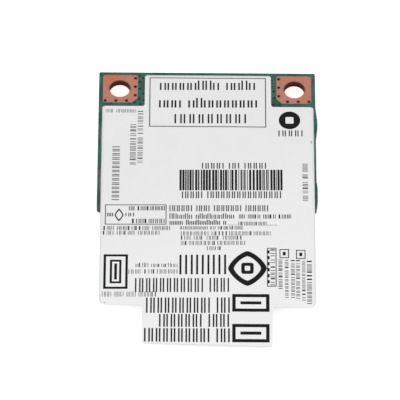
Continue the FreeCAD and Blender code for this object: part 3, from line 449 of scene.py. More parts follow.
class Finish:
    """A material under construction."""

    def __init__(self, name):
        self.material = bpy.data.materials.new(name)
        self.material.use_nodes = True
        self.tree = self.material.node_tree
        self.tree.nodes.clear()
        self.place = self.node("ShaderNodeTexCoord", output="Object")

    def node(self, kind, settings=None, inputs=None, output=0):
        """Add a node: its settings first, then the values or links of its sockets."""
        made = self.tree.nodes.new(kind)
        for name, setting in (settings or {}).items():
            setattr(made, name, setting)
        for key, given in (inputs or {}).items():
            if isinstance(given, Wire):
                self.tree.links.new(given.socket, made.inputs[key])
            else:
                made.inputs[key].default_value = given
        return Wire(self, made.outputs[output]) if made.outputs else made

    def axis(self, name):
        """One coordinate of the object, in millimetres."""
        return self.node("ShaderNodeSeparateXYZ", inputs={0: self.place}, output=name) * (1 / MM)

    def noise(self, pitch, detail=3.0, stretch=(1, 1, 1), turn=0.0, roughness=0.5):
        """Cloudy noise whose lumps are a pitch apart, in millimetres, and longer by a stretch."""
        place = self.node("ShaderNodeMapping", {"vector_type": "TEXTURE"}, {
            "Vector": self.place, "Rotation": (0, 0, turn), "Scale": stretch})
        return self.node("ShaderNodeTexNoise", inputs={
            "Vector": place, "Scale": 1 / (pitch * MM), "Detail": detail, "Roughness": roughness})

    def level(self, wire, low, high, start=0.0, end=1.0):
        """Carry the range from low to high over to the range from start to end."""
        return self.node("ShaderNodeMapRange", inputs={
            "Value": wire, "From Min": low, "From Max": high, "To Min": start, "To Max": end})

    def patches(self, low, high, pitch, detail=3.0, **shape):
        """Noise as patches: 0 below the low level of the noise and 1 above the high one."""
        return self.level(self.noise(pitch, detail, **shape), low, high)

    def blend(self, share, first, second):
        """Mix two colours by a share."""
        values = [given if isinstance(given, Wire) else (*given, 1.0) for given in (first, second)]
        return self.node("ShaderNodeMix", {"data_type": "RGBA"},
                         {0: share, 6: values[0], 7: values[1]}, output=2)

    def spot(self, x, y, radius, stretch=1.0):
        """1 at a place in plan that fades to 0 at a radius, all in millimetres."""
        across = (self.axis("X") - x) * (1 / radius)
        along = (self.axis("Y") - y) * (1 / (radius * stretch))
        return self.level(across * across + along * along, 0.0, 1.0, 1.0, 0.0)

    def bump(self, height, depth, strength=1.0):
        """Turn a height from 0 to 1 into a bump of a depth in millimetres."""
        return self.node("ShaderNodeBump", inputs={
            "Height": height, "Distance": depth * MM, "Strength": strength})

    def close(self, **sockets):
        """Finish with a Principled surface; names use an underscore for each space."""
        inputs = {name.replace("_", " "): given for name, given in sockets.items()}
        surface = self.node("ShaderNodeBsdfPrincipled", inputs=inputs)
        self.node("ShaderNodeOutputMaterial", inputs={"Surface": surface})
        return self.material


def shade(colour, factor):
    """A linear colour times one factor, or times a factor for each of its parts."""
    return tuple(np.minimum(1.0, np.multiply(colour, factor)))


def mask_finish(name, settings, over_copper=False, darkness=1.0):
    """Solder mask over glass weave and copper, with the cut laminate at the board's edges."""
    finish = Finish(name)
    bare = shade(linear(settings.mask), darkness)
    covered = shade(linear(settings.mask_copper), darkness)
    cloud = finish.patches(0.42, 0.58, pitch=2.6, detail=2.0)
    if over_copper:
        cloud = finish.level(finish.noise(pitch=1.2, detail=2.0), 0.3, 0.7, 0.85, 1.0)
    colour = finish.blend(cloud, bare, covered)
    fine = finish.patches(0.35, 0.65, pitch=0.35, detail=4.0)
    colour = finish.blend(fine * 0.3, colour, shade(bare, 0.62))
    height = finish.axis("Z")
    upper = height > -EDGE_SKIN
    for x, y, radius, stretch in STRIP_SPOTS:
        spot = finish.spot(x, y, radius, stretch) * upper
        colour = finish.blend(spot * 0.8, colour, STRIP_PINK)
    inside = (height < -EDGE_SKIN) * (height > EDGE_SKIN - BOARD_THICK)
    layers = finish.patches(0.4, 0.6, pitch=0.12, detail=2.0, stretch=(12, 12, 1))
    laminate = finish.blend(layers, shade(bare, 0.42), shade(bare, 0.8))
    colour = finish.blend(inside, colour, laminate)
    weave = (finish.noise(pitch=0.3, detail=1.0, stretch=(1, 2.5, 1))
             + finish.noise(pitch=0.3, detail=1.0, stretch=(2.5, 1, 1)))
    rough = finish.level(fine, 0.0, 1.0, 0.30, 0.42) + inside * 0.3
    return finish.close(Base_Color=colour, Roughness=rough, Coat_Weight=0.12, Coat_Roughness=0.18,
                        Specular_IOR_Level=0.4, Normal=finish.bump(weave, 0.01, 0.6))


def copper_finish(name, settings):
    """Bare copper: tarnish, brush marks, a tan rim, brown vias, painted shade on the far lip of the hole,
    and a dark wall in the hole of brown oxide and painted shade.

    With a and b the distances from the pad's middle in its half widths, a^p + b^p is 1 at its
    edge, and more in its corners, which are covered with mask."""
    finish = Finish(name)
    copper = linear(settings.copper)
    pink, orange = shade(copper, (0.9, 0.98, 1.12)), shade(copper, (1.06, 0.74, 0.48))
    tarnish = finish.patches(0.38, 0.6, pitch=0.75, detail=3.0)
    colour = finish.blend(tarnish, copper, pink)
    mottle = finish.patches(0.46, 0.66, pitch=0.34, detail=3.0, roughness=0.6)
    colour = finish.blend(mottle * 0.42, colour, orange)
    for x, y, radius, share in COPPER_PATCHES:
        patch = finish.spot(x, y, radius) * finish.patches(0.36, 0.56, pitch=0.45, detail=3.0)
        colour = finish.blend(patch * share, colour, orange)
    streak = finish.noise(pitch=0.22, detail=4.0, stretch=(1, 6, 1), turn=math.radians(32), roughness=0.65)
    colour = finish.blend(finish.level(streak, 0.42, 0.72, 0.0, 0.34), colour, shade(copper, 0.7))
    height = finish.axis("Z")
    outer = height > -WALL_SKIN
    beside, along = abs(finish.axis("X")), finish.axis("Y")
    low, high = islands("mounting_pad_right", BOARD_HIGH[2])[0]
    middle, reach = (low + high) / 2, (high - low) / 2
    edge = (((beside - middle[0]) * (1 / reach[0])) ** RIM_POWER
            + ((along - middle[1]) * (1 / reach[1])) ** RIM_POWER)
    rim = finish.level(edge, RIM_START, RIM_FULL, 0.0, 0.9) * outer
    colour = finish.blend(rim, colour, RIM_TAN)
    corner = (edge > RIM_END) * outer
    colour = finish.blend(corner, colour, linear(settings.mask_copper))
    steps = np.arange(VIA_COUNT) * VIA_PITCH
    vias = [(high[0] - VIA_MARGIN - step, low[1] + VIA_MARGIN) for step in steps]
    vias += [(low[0] + VIA_MARGIN, high[1] - VIA_FAR_MARGIN - step) for step in steps]
    for x, y in vias:
        away = (beside - x) * (beside - x) + (along - y) * (along - y)
        ring = finish.level(away, VIA_RING[0] ** 2, VIA_RING[1] ** 2, 1.0, 0.0) * outer
        colour = finish.blend(ring * 0.75, colour, VIA_BROWN)
    # Painted shade on the far lip of the screw hole, fading out towards its near side.
    away = (beside - HOLE_PLACE) * (beside - HOLE_PLACE) + along * along
    lip_shade = finish.level(away, HOLE_RADIUS ** 2, LIP_SHADE_REACH ** 2, 1.0, 0.0)
    lip_shade = lip_shade * finish.level(along, *LIP_SHADE_FADE) * outer
    colour = finish.blend(lip_shade, colour, LIP_PAINTED_SHADE)
    # Inside the hole, brown oxide and painted shade darken to painted shade towards the bottom.
    wall = (height < -WALL_SKIN) * (height > WALL_SKIN - BOARD_THICK)
    plated = finish.patches(0.35, 0.65, pitch=0.3, detail=3.0, stretch=(1, 1, 4))
    sunk_shade = finish.level(height + plated * 0.25, -BOARD_THICK, -0.1)
    colour = finish.blend(wall, colour, finish.blend(sunk_shade, WALL_DEEP_SHADE, WALL_OXIDE_AND_SHADE))
    rough = finish.level(streak, 0.3, 0.7, 0.38, 0.56)
    return finish.close(Base_Color=colour, Metallic=(1.0 - wall) * (1.0 - corner),
                        Roughness=rough + wall * 0.2, Specular_IOR_Level=0.05,
                        Normal=finish.bump(streak, 0.006, 0.7))


def gold_finish(name, settings, scratches=20):
    """Gold plating with fine scratches along the card."""
    finish = Finish(name)
    gold = linear(settings.gold)
    cloud = finish.patches(0.35, 0.65, pitch=0.8, detail=3.0)
    scratch = finish.noise(pitch=0.09, detail=3.0, stretch=(1, scratches, 1), roughness=0.7)
    colour = finish.blend(cloud, gold, shade(gold, (0.86, 0.80, 0.62)))
    return finish.close(Base_Color=colour, Metallic=1.0,
                        Roughness=finish.level(scratch, 0.35, 0.7, 0.2, 0.42),
                        Normal=finish.bump(scratch, 0.003, 0.5))


def sheet_metal_finish(name, settings):
    """Tinned steel sheet: rolling lines across it, soft blotches and small scuffs."""
    finish = Finish(name)
    tin = linear(settings.tin)
    rolling = finish.noise(pitch=0.4, detail=2.0, stretch=(30, 1, 1), roughness=0.5)
    blotch = finish.patches(0.38, 0.62, pitch=3.5, detail=3.0)
    scuff = finish.patches(0.62, 0.72, pitch=0.5, detail=5.0, stretch=(1, 8, 1), turn=0.5)
    colour = finish.blend(blotch * 0.35, tin, shade(tin, 0.78))
    colour = finish.blend(scuff * 0.25, colour, shade(tin, 1.15))
    rough = finish.level(rolling, 0.3, 0.7, 0.27, 0.4) + blotch * 0.08
    return finish.close(Base_Color=colour, Metallic=1.0, Roughness=rough,
                        Normal=finish.bump(rolling, 0.004, 0.5))


def solder_finish(name, settings):
    """Reflowed solder: bright, with a faint frost."""
    finish = Finish(name)
    tin = linear(settings.tin)
    frost = finish.noise(pitch=0.12, detail=4.0)
    colour = finish.blend(finish.level(frost, 0.4, 0.6), tin, shade(tin, 0.8))
    return finish.close(Base_Color=colour, Metallic=1.0,
                        Roughness=finish.level(frost, 0.35, 0.65, 0.2, 0.38),
                        Normal=finish.bump(frost, 0.004, 0.4))


def moulding_finish(name, settings):
    """Black moulding compound with a fine spark-eroded grain."""
    finish = Finish(name)
    black = linear(settings.moulding)
    grain = finish.noise(pitch=0.05, detail=3.0, roughness=0.7)
    cloud = finish.patches(0.35, 0.65, pitch=1.8, detail=3.0)
    colour = finish.blend(cloud * 0.6, black, shade(black, 1.9))
    return finish.close(Base_Color=colour, Roughness=finish.level(grain, 0.3, 0.7, 0.5, 0.68),
                        Normal=finish.bump(grain, 0.01, 0.7))


def ceramic_finish(name, colour, rough, speck=0.18):
    """Sintered ceramic with fine specks of its own colour."""
    finish = Finish(name)
    body = linear(colour)
    grain = finish.noise(pitch=0.07, detail=4.0, roughness=0.7)
    tone = finish.blend(finish.level(grain, 0.35, 0.65, 0.0, speck * 2), body, shade(body, 0.6))
    cloud = finish.patches(0.4, 0.6, pitch=0.8, detail=2.0)
    tone = finish.blend(cloud * speck, tone, shade(body, 1.35))
    return finish.close(Base_Color=tone, Roughness=finish.level(grain, 0.3, 0.7, rough, rough + 0.12),
                        Normal=finish.bump(grain, 0.005, 0.5))


def paper_finish(name, settings):
    """Coated white paper: faint fibre mottle, a slight sheen and a free end made paler by painted light.
    """
    finish = Finish(name)
    white = linear(settings.colour)
    fibre = finish.noise(pitch=0.25, detail=5.0, stretch=(1, 2, 1), roughness=0.65)
    cloud = finish.patches(0.35, 0.65, pitch=4.5, detail=2.0)
    colour = finish.blend(finish.level(fibre, 0.4, 0.7, 0.0, 0.5), white, shade(white, 0.955))
    colour = finish.blend(cloud * 0.5, colour, shade(white, 0.965))
    # Painted light: the paper is made paler towards the drooping free end.
    painted_light = finish.level(finish.axis("Y") - finish.axis("X") * PAPER_PAINTED_LIGHT_LEAN, *PAPER_PAINTED_LIGHT)
    colour = finish.blend(painted_light, colour, shade(white, 1.03))
    for x, y, radius, stretch in PAPER_SPECKS:
        colour = finish.blend(finish.spot(x, y, radius, stretch) * 0.6, colour, shade(white, 0.2))
    return finish.close(Base_Color=colour, Roughness=finish.level(fibre, 0.3, 0.7, 0.52, 0.66),
                        Specular_IOR_Level=0.35, Normal=finish.bump(fibre, 0.006, 0.5))


def ink_finish(name, settings, strength=1.0):
    """Black thermal print, a little uneven where the head skipped."""
    finish = Finish(name)
    ink = shade(linear(settings.ink), strength)
    skip = finish.noise(pitch=0.14, detail=4.0, roughness=0.7)
    colour = finish.blend(finish.level(skip, 0.5, 0.75, 0.0, 0.5), ink, shade(ink, 3.2))
    return finish.close(Base_Color=colour, Roughness=finish.level(skip, 0.3, 0.7, 0.5, 0.68),
                        Specular_IOR_Level=0.12, Normal=finish.bump(skip, 0.003, 0.4))


# Paper label

class LabelPlan:
    """Outline of the label and the height of its top, worked out from the solids."""

    def __init__(self, settings):
        middle = (LABEL_LOW[0] + LABEL_HIGH[0]) / 2
        self.settings = settings
        self.left, self.right = LABEL_LOW[0], LABEL_HIGH[0]
        self.tab_left = middle - settings.tab_width / 2
        self.tab_right = middle + settings.tab_width / 2
        self.end, self.far = TIP - settings.overhang, LABEL_HIGH[1]
        self.near_notch = self.end + settings.near_tab
        self.far_notch = self.far - settings.far_tab

    def side_height(self, y, droop):
        """Flat up to the tip, then an arc of radius (reach^2 + droop^2) / (2 droop)."""
        radius = (self.settings.overhang ** 2 + droop ** 2) / (2 * droop)
        past = np.clip(TIP - y, 0, None)
        return np.sqrt((radius + LABEL_THICK) ** 2 - past ** 2) - radius

    def height(self, x, y):
        """Top of the paper: the two sides' heights in proportion to x, plus slow waves.

        The waves are a product of two sines, squared so that they only lift the paper, and
        they grow past the tip, where nothing holds it down."""
        share = (x - self.left) / (self.right - self.left)
        settings = self.settings
        flat = ((1 - share) * self.side_height(y, settings.droop_left)
                + share * self.side_height(y, settings.droop_right))
        free = 1 + WAVE_GROWTH * np.clip((TIP - y) / settings.overhang, 0, 1)
        wave = np.sin(x / WAVE_ACROSS + WAVE_START) * np.sin(y / WAVE_ALONG + x / WAVE_SLANT)
        return flat + settings.ripple * free * wave ** 2


def rounded(points, corner, inward, radius):
    """Round an outer corner: square rings about its centre become quarter circles.

    With a and b the distances from the rounding's centre in radii, a point moves to the same
    direction at the distance max(a, b)."""
    centre = np.array(corner) + np.array(inward) * radius
    offset = (points - centre) * -np.array(inward) / radius
    near = (offset > 0).all(-1) & (offset < 1 + NEARLY).all(-1)
    reach = offset.max(-1) / np.maximum(np.hypot(offset[..., 0], offset[..., 1]), NEARLY)
    moved = centre - np.array(inward) * radius * offset * reach[..., None]
    points[near] = moved[near]


def inner_corner(corner, outward, radius):
    """Web of paper in an inner corner, between its two edges and an arc.

    At the share s along the first edge, the web's depth is r (1 - sqrt(1 - (1 - s)^2))."""
    share = np.linspace(0, 1, CORNER_STEPS + 1)
    depth = radius * (1 - np.sqrt(1 - (1 - share) ** 2))
    down = np.linspace(0, 1, CORNER_STEPS + 1)
    x = corner[0] + outward[0] * radius * share[:, None] + 0 * down[None, :]
    y = corner[1] + outward[1] * depth[:, None] * down[None, :]
    return np.stack([x, y], -1)


def sheet_lines(stops, edges, step):
    """Places of the sheet's grid lines: all the stops, and fine steps about some edges."""
    fine = [np.arange(-CORNER_STEPS, CORNER_STEPS + 1) * step + edge for edge in edges]
    return np.unique(np.concatenate([spread(np.array(stops), SHEET_STEP)] + fine).round(PLACES))


def label_sheet(plan):
    """Plan of the label: a grid of cells, with rounded corners and webbed inner corners."""
    small, large = plan.settings.corner_radius, plan.settings.wing_radius
    step = small / CORNER_STEPS
    x_lines = sheet_lines([
        plan.left, plan.left + large, plan.tab_left - small, plan.tab_left, plan.tab_left + small,
        plan.tab_right - small, plan.tab_right, plan.tab_right + small, plan.right - large,
        plan.right], (plan.tab_left, plan.tab_right), step)
    y_lines = sheet_lines([
        plan.end, plan.end + small, plan.near_notch - small, plan.near_notch,
        plan.near_notch + large, plan.far_notch - small, plan.far_notch, plan.far_notch + small,
        plan.far - small, plan.far], (plan.near_notch, plan.far_notch), step)
    points = np.stack(np.meshgrid(x_lines, y_lines, indexing="ij"), -1)
    middle = (points[:-1, :-1] + points[1:, 1:]) / 2
    in_tab = (middle[..., 0] > plan.tab_left) & (middle[..., 0] < plan.tab_right)
    in_wing = (middle[..., 1] > plan.near_notch) & (middle[..., 1] < plan.far_notch)
    faces = quads(*points.shape[:2])[(in_tab | in_wing).reshape(-1)]
    for x, inward in ((plan.left, 1), (plan.right, -1)):
        rounded(points, (x, plan.near_notch), (inward, 1), large)
        rounded(points, (x, plan.far_notch), (inward, -1), small)
    shapes = [(points.reshape(-1, 2), faces)]
    for x, inward in ((plan.tab_left, 1), (plan.tab_right, -1)):
        for y, along in ((plan.end, 1), (plan.far, -1)):
            rounded(points, (x, y), (inward, along), small)
        for y, along in ((plan.near_notch, -1), (plan.far_notch, 1)):
            web = inner_corner((x, y), (-inward, along), small)
            shapes.append((web.reshape(-1, 2), quads(*web.shape[:2])))
    points, faces = joined(shapes)
    used, faces = np.unique(faces, return_inverse=True)
    points, faces = points[used], faces.reshape(-1, 4)
    across = points[faces[:, 2]] - points[faces[:, 0]]
    beside = points[faces[:, 3]] - points[faces[:, 1]]
    clockwise = across[:, 0] * beside[:, 1] < across[:, 1] * beside[:, 0]
    faces[clockwise] = faces[clockwise, ::-1]
    return points, faces


# Print on the label

# A box is left, right, near and far. A row adds the cells of each group and a stroke's width.
Row = collections.namedtuple("Row", "left right near far groups stroke upright mixed",
                             defaults=(False, False))

FRAME_STROKE = 0.12
THIN_FRAME_STROKE = 0.11
NOTICE_FRAME = (-7.98, 8.16, -6.61, 1.94)
NOTICE_ROWS = [
    Row(-6.54, 6.65, -0.18, 1.46, (8, 4), 0.22, mixed=True),
    Row(-6.65, 6.92, -3.25, -1.56, (3, 9), 0.24, mixed=True),
    Row(-4.49, 5.38, -5.98, -4.38, (8,), 0.22),
]
DARK_SIDE_ROWS = [
    Row(-10.58, -9.75, -13.14, -6.27, (4, 9), 0.08, upright=True),
    Row(-12.98, -11.96, -19.18, -10.08, (13,), 0.12, upright=True),
]
LIGHT_SIDE_ROWS = [
    Row(-13.97, -9.82, -4.21, -3.60, (3, 7), 0.06),
    Row(-9.56, -8.81, -12.87, -3.92, (5, 2, 1, 10), 0.067, upright=True),
    Row(13.07, 13.82, -19.11, -12.83, (3, 2, 4, 2), 0.06, upright=True),
]
# A round mark is its centre and its reach along x and y.
ROUND_MARK = (11.39, -5.46, 1.48, 1.52)
# A band is the power and the share of its outer outline, and those of its inner one.
ROUND_BAND = ((2, 1.0), (8, 0.38))
ROUND_MARK_ROW = Row(9.85, 13.16, -8.22, -7.20, (4,), 0.15)
BARCODE = (-3.74, 10.34, -17.43, -13.95)
BARCODE_ROWS = [
    Row(-0.67, 8.10, -13.76, -12.77, (4, 2, 4), 0.15),
    Row(-3.39, 10.11, -18.76, -17.61, (4, 14), 0.15),
]
BOXED_MARK = (-13.84, -5.48, -23.18, -19.83)
BOXED_DIAMOND = (-11.93, -21.57, 0.62, 1.05)
BOXED_BAND = ((1.2, 1.0), (1.2, 0.72))
BOXED_ROWS = [
    Row(-10.59, -5.69, -20.82, -20.10, (2, 9), 0.10),
    Row(-10.15, -5.74, -22.95, -22.22, (8,), 0.08),
    Row(-13.56, -12.75, -21.82, -21.22, (2,), 0.12),
    Row(-11.05, -9.90, -21.82, -21.22, (2,), 0.12),
]
SMALL_ROWS = [
    Row(-14.01, -4.99, -24.12, -23.42, (3, 9, 5), 0.095),
    Row(-14.06, -6.41, -24.88, -24.24, (3, 5, 6), 0.085),
    Row(-5.08, 8.33, -20.97, -19.95, (5, 3, 6, 5), 0.137),
    Row(-5.07, 3.70, -22.22, -21.32, (6, 10), 0.125, mixed=True),
    Row(4.38, 11.44, -22.20, -21.50, (2, 4, 4, 4), 0.104),
    Row(-5.06, 2.61, -23.22, -22.40, (4, 10, 1), 0.13, mixed=True),
    Row(4.30, 8.10, -23.35, -22.72, (10,), 0.08),
    Row(-3.56, 4.85, -24.03, -23.47, (10, 2, 9), 0.077),
    Row(-3.49, 8.64, -25.00, -24.32, (8, 17), 0.08),
    Row(-3.49, 4.91, -25.71, -25.06, (3, 3, 4, 6), 0.078),
    Row(-3.48, 5.18, -26.58, -25.90, (16,), 0.09),
    Row(0.04, 2.13, -27.40, -26.78, (4,), 0.09),
    Row(-9.60, -3.95, -30.12, -29.44, (4, 8), 0.08, mixed=True),
    Row(-10.53, -3.95, -31.15, -30.48, (3, 8), 0.09),
    Row(-14.05, -6.60, -34.70, -33.92, (3, 3, 3, 6), 0.065),
]
LEADERS = [(2.90, 4.10, -23.34, 7), (8.25, 9.50, -23.34, 7)]
LEADER_DOT = 0.1
FLAP_ROWS = [
    Row(-3.67, 2.62, -31.25, -28.15, (3,), 0.27),
    Row(-9.63, 3.01, -34.00, -31.84, (10, 3), 0.19),
    Row(-8.12, 3.12, -37.15, -34.85, (9, 2), 0.21),
    Row(-6.36, 3.02, -39.22, -37.32, (6, 3), 0.21),
    Row(-8.35, 3.12, -41.43, -39.43, (9, 2), 0.22),
]
NESTED_MARK = (-13.91, -10.63, -33.50, -28.07)
NESTED_STROKES = (0.33, 0.3)
NESTED_INSETS = (0.86, 1.46)
THICK_DIAMOND = (5.50, -30.32, 2.62, 2.75)
DIAMOND_BANDS = [((1.4, 1.0), (1.4, 0.7)), ((6, 0.32), (6, 0.14))]
WIDE_MARKS = [(3.45, 8.45, -36.97, -34.33), (3.45, 8.45, -41.42, -38.78)]
WIDE_STROKE = 0.46
WIDE_INSET = 1.1
SIDE_FRAME = (8.14, 9.42, -33.17, -27.06)
DASH_COUNT = 6
DASH_SIDES = (0.1, 0.36)
DASH_ENDS = (0.5, 0.9)
DASH_LENGTH = 0.5
SIDE_FRAME_ROW = Row(8.62, 9.22, -32.95, -27.30, (2, 1, 5), 0.10, upright=True)
TINY_FRAMES = [(9.84, 11.12, -28.72, -27.28), (12.07, 13.35, -28.86, -27.42)]
TINY_INSET = 0.44
COLUMNS = [
    Row(9.68, 10.22, -33.53, -28.95, (9,), 0.07, upright=True),
    Row(10.55, 11.03, -34.87, -29.04, (11,), 0.06, upright=True),
    Row(11.36, 11.90, -34.86, -29.03, (11,), 0.06, upright=True),
    Row(12.04, 12.58, -35.00, -29.05, (11,), 0.06, upright=True),
    Row(12.84, 13.31, -35.28, -29.17, (11,), 0.06, upright=True),
    Row(13.51, 14.19, -35.79, -29.16, (12,), 0.07, upright=True),
]


def hatch(width, tall, stroke, count):
    """Even strokes that stand across a cell."""
    start = np.linspace(0, width - stroke, count)
    return np.stack([start, start + stroke, start * 0, start * 0 + tall], -1)


def row_boxes(row, draw):
    """Boxes of a row: groups of equal cells, each hatched across the row.

    In a fine row the cells share their ink out among one, two or three strokes."""
    length = row.far - row.near if row.upright else row.right - row.left
    height = row.right - row.left if row.upright else row.far - row.near
    cells = sum(row.groups) + GROUP_GAP * (len(row.groups) - 1)
    pitch = length / (cells - 1 + CELL_FILL)
    places = np.concatenate([
        np.arange(count) + sum(row.groups[:number]) + GROUP_GAP * number
        for number, count in enumerate(row.groups)]) * pitch
    width = pitch * CELL_FILL
    usual = max(2, round(width * INK_SHARE / row.stroke))
    talls = height * (draw.choice(CELL_HEIGHTS, len(places)) if row.mixed else np.ones(len(places)))
    fine = row.stroke < FINE_STROKE
    counts = draw.choice(FINE_COUNTS, len(places)) if fine else np.full(len(places), usual)
    boxes = np.concatenate([
        hatch(width, tall, row.stroke * usual / count, count) + [place, place, 0, 0]
        for place, tall, count in zip(places, talls, counts)])
    if row.upright:
        return np.stack([row.left + boxes[:, 2], row.left + boxes[:, 3],
                         row.far - boxes[:, 1], row.far - boxes[:, 0]], -1)
    return boxes + [row.left, row.left, row.near, row.near]


def frame_boxes(box, stroke):
    """Four bars round a box."""
    left, right, near, far = box
    return [(left, right, far - stroke, far), (left, right, near, near + stroke),
            (left, left + stroke, near + stroke, far - stroke),
            (right - stroke, right, near + stroke, far - stroke)]


def inset(box, amount):
    """A box made smaller on all its sides."""
    left, right, near, far = box
    return (left + amount, right - amount, near + amount, far - amount)


def bar_boxes(box, draw):
    """Bars of uneven width and spacing, made up for this label."""
    left, right, near, far = box
    widths = np.stack([draw.choice(BAR_WIDTHS, BAR_COUNT), draw.choice(GAP_WIDTHS, BAR_COUNT)], -1)
    edges = np.concatenate([[0], np.cumsum(widths)[:-1]])
    edges = left + edges * (right - left) / edges[-1]
    return [(start, end, near, far) for start, end in edges.reshape(-1, 2)]


def box_grid(boxes, split):
    """Plan grids of boxes that are given as left, right, near and far."""
    boxes = np.array(boxes, float)
    across = np.linspace(0, 1, split[0] + 1)
    along = np.linspace(0, 1, split[1] + 1)
    x = boxes[:, 0, None] + (boxes[:, 1] - boxes[:, 0])[:, None] * across
    y = boxes[:, 2, None] + (boxes[:, 3] - boxes[:, 2])[:, None] * along
    return np.stack(np.broadcast_arrays(x[:, :, None], y[:, None, :]), -1)


def slanted(plan):
    """Lines of print rise a little to the right, more so past the tip."""
    slant = PRINT_SLANT + FLAP_SLANT * np.clip((TIP - plan[..., 1]) / FLAP_REACH, 0, 1)
    moved = plan.copy()
    moved[..., 1] += slant * plan[..., 0]
    return moved


def superellipse(mark, power, share=1.0):
    """Closed outline |x / a|^p + |y / b|^p = 1: round for p = 2 and a diamond near p = 1."""
    middle_x, middle_y, wide, tall = mark
    turn = math.tau * np.arange(OUTLINE_STEPS) / OUTLINE_STEPS
    x, y = np.cos(turn), np.sin(turn)
    radius = (np.abs(x) ** power + np.abs(y) ** power) ** (-1 / power)
    return np.stack([middle_x + share * wide * radius * x, middle_y + share * tall * radius * y], -1)


class Press:
    """Lays one step's print on the label, and makes a piece of what was laid since the last."""

    def __init__(self, context, step):
        self.settings = context.scene.card_paper
        self.label = LabelPlan(self.settings)
        self.draw = np.random.default_rng(SEED + step)
        self.shapes = []

    def boxes(self, boxes, split=(1, 1), slant=True):
        """Slabs of ink, split across and along so that they follow the paper."""
        plan = box_grid(boxes, split)
        plan = slanted(plan) if slant else plan
        self.shapes.append(slabs(plan, self.label.height, INK_RISE, INK_SINK))

    def rows(self, rows, split=(1, 1), slant=True):
        """Each row's hatched cells."""
        for row in rows:
            self.boxes(row_boxes(row, self.draw), split, slant)

    def band(self, mark, outer, inner):
        """Closed flat band between two outlines of a round mark.

        Its section runs from the inner outline to the outer one on top, and back underneath."""
        outer, inner = superellipse(mark, *outer), superellipse(mark, *inner)
        share = np.linspace(0, 1, BAND_STEPS + 1)[None, :, None]
        plan = slanted(inner[:, None, :] * (1 - share) + outer[:, None, :] * share)
        base = self.label.height(plan[..., 0], plan[..., 1])[..., None]
        top = np.concatenate([plan, base + INK_RISE], -1)
        under = np.concatenate([plan, base - INK_SINK], -1)[:, ::-1]
        section = np.concatenate([top, under], 1)
        faces = quads(*section.shape[:2], wrap=True, close=True)
        self.shapes.append((section.reshape(-1, 3), faces))

    def piece(self, name, ink):
        """Make a piece of the shapes laid so far, and start afresh."""
        put_flat(name, self.shapes, ink, "label")
        self.shapes = []


# Solder and tracks of the component side

def label_side(x, y):
    """Height function of the label side."""
    return np.zeros(np.shape(x))


def component_side(x, y):
    """Height function of the component side, for slabs that stand down from it."""
    return np.full(np.shape(x), BOARD_LOW[2])


def on_component_side(places):
    """Centres of turned solids that stand on the component side."""
    return np.column_stack([places, np.full(len(places), BOARD_LOW[2])])


def spot_profile(radius):
    """Profile of a flat round spot that stands down from the board."""
    return np.array([[0, SEAT], [radius, SEAT], [radius, -SPOT_RISE], [0, -SPOT_RISE]])


def edge_swell(near, far, proud):
    """Slight swell of the board's right edge, as high as the board.

    At the share t from -1 to 1 along the edge it stands out by proud (1 - t^4)."""
    share = np.linspace(-1, 1, SWELL_STEPS)
    y = (near + far) / 2 + share * (far - near) / 2
    edge = SWELL_ROOT + (1 - share ** 4) * (BOARD_EDGE + proud - SWELL_ROOT)
    root = np.full_like(y, SWELL_ROOT - SWELL_INSIDE)
    plan = np.stack([np.stack([root, y], -1), np.stack([edge, y], -1)], 1)
    return slabs(plan[None], label_side, -SWELL_DEPTH, BOARD_THICK - SWELL_DEPTH)


def fillets(feet, outward, reach, rise, width):
    """Solder wedges: a hollow curve from the metal's edge down to the board.

    With q from 0 to 1 along the curve, the wedge stands off by reach (1 - cos(q pi / 2)) and
    is rise (1 - sin(q pi / 2)) high. Along its width it shrinks to its ends as the root of
    1 - t^4."""
    turn = np.linspace(0, math.pi / 2, WEDGE_STEPS)
    curve = np.stack([1 - np.cos(turn), 1 - np.sin(turn)], -1)
    profile = np.concatenate([curve, [[0, 0]]])
    along = np.linspace(-1, 1, WEDGE_STATIONS)[:, None, None]
    size = np.sqrt(1 - along ** 4)
    outward = np.array(outward, float)
    side = np.stack([-outward[:, 1], outward[:, 0]], -1)[:, None, None]
    width = np.array(width)[:, None, None, None]
    plan = (np.array(feet)[:, None, None, :2] + outward[:, None, None] * reach * size * profile[:, :1]
            + side * width / 2 * along)
    height = BOARD_LOW[2] + SEAT - (rise + SEAT) * size * profile[:, 1:]
    height = np.broadcast_to(height, plan.shape[:3] + (1,))
    points = np.concatenate([plan, height], -1)
    count, rows, columns = points.shape[:3]
    shift = rows * columns * np.arange(count)[:, None, None]
    return points.reshape(-1, 3), (quads(rows, columns, close=True)[None] + shift).reshape(-1, 4)


def bead(node, reach, rise):
    """Solder wedges along each outer side of a node's feet that stand at its walls."""
    feet = islands(node, BOARD_LOW[2])
    shapes = []
    for end, sign in ((0, -1), (1, 1)):
        edge = corners(node)[end]
        for axis in (0, 1):
            at_wall = feet[np.abs(feet[:, end, axis] - edge[axis]) < TOUCH]
            if len(at_wall) == 0:
                continue
            spots = at_wall.mean(1)[:, :2]
            spots[:, axis] = edge[axis] - sign * SEAT
            outward = np.zeros_like(spots)
            outward[:, axis] = sign
            width = (at_wall[:, 1] - at_wall[:, 0])[:, 1 - axis]
            shapes.append(fillets(spots, outward, reach, rise, width))
    return joined(shapes)


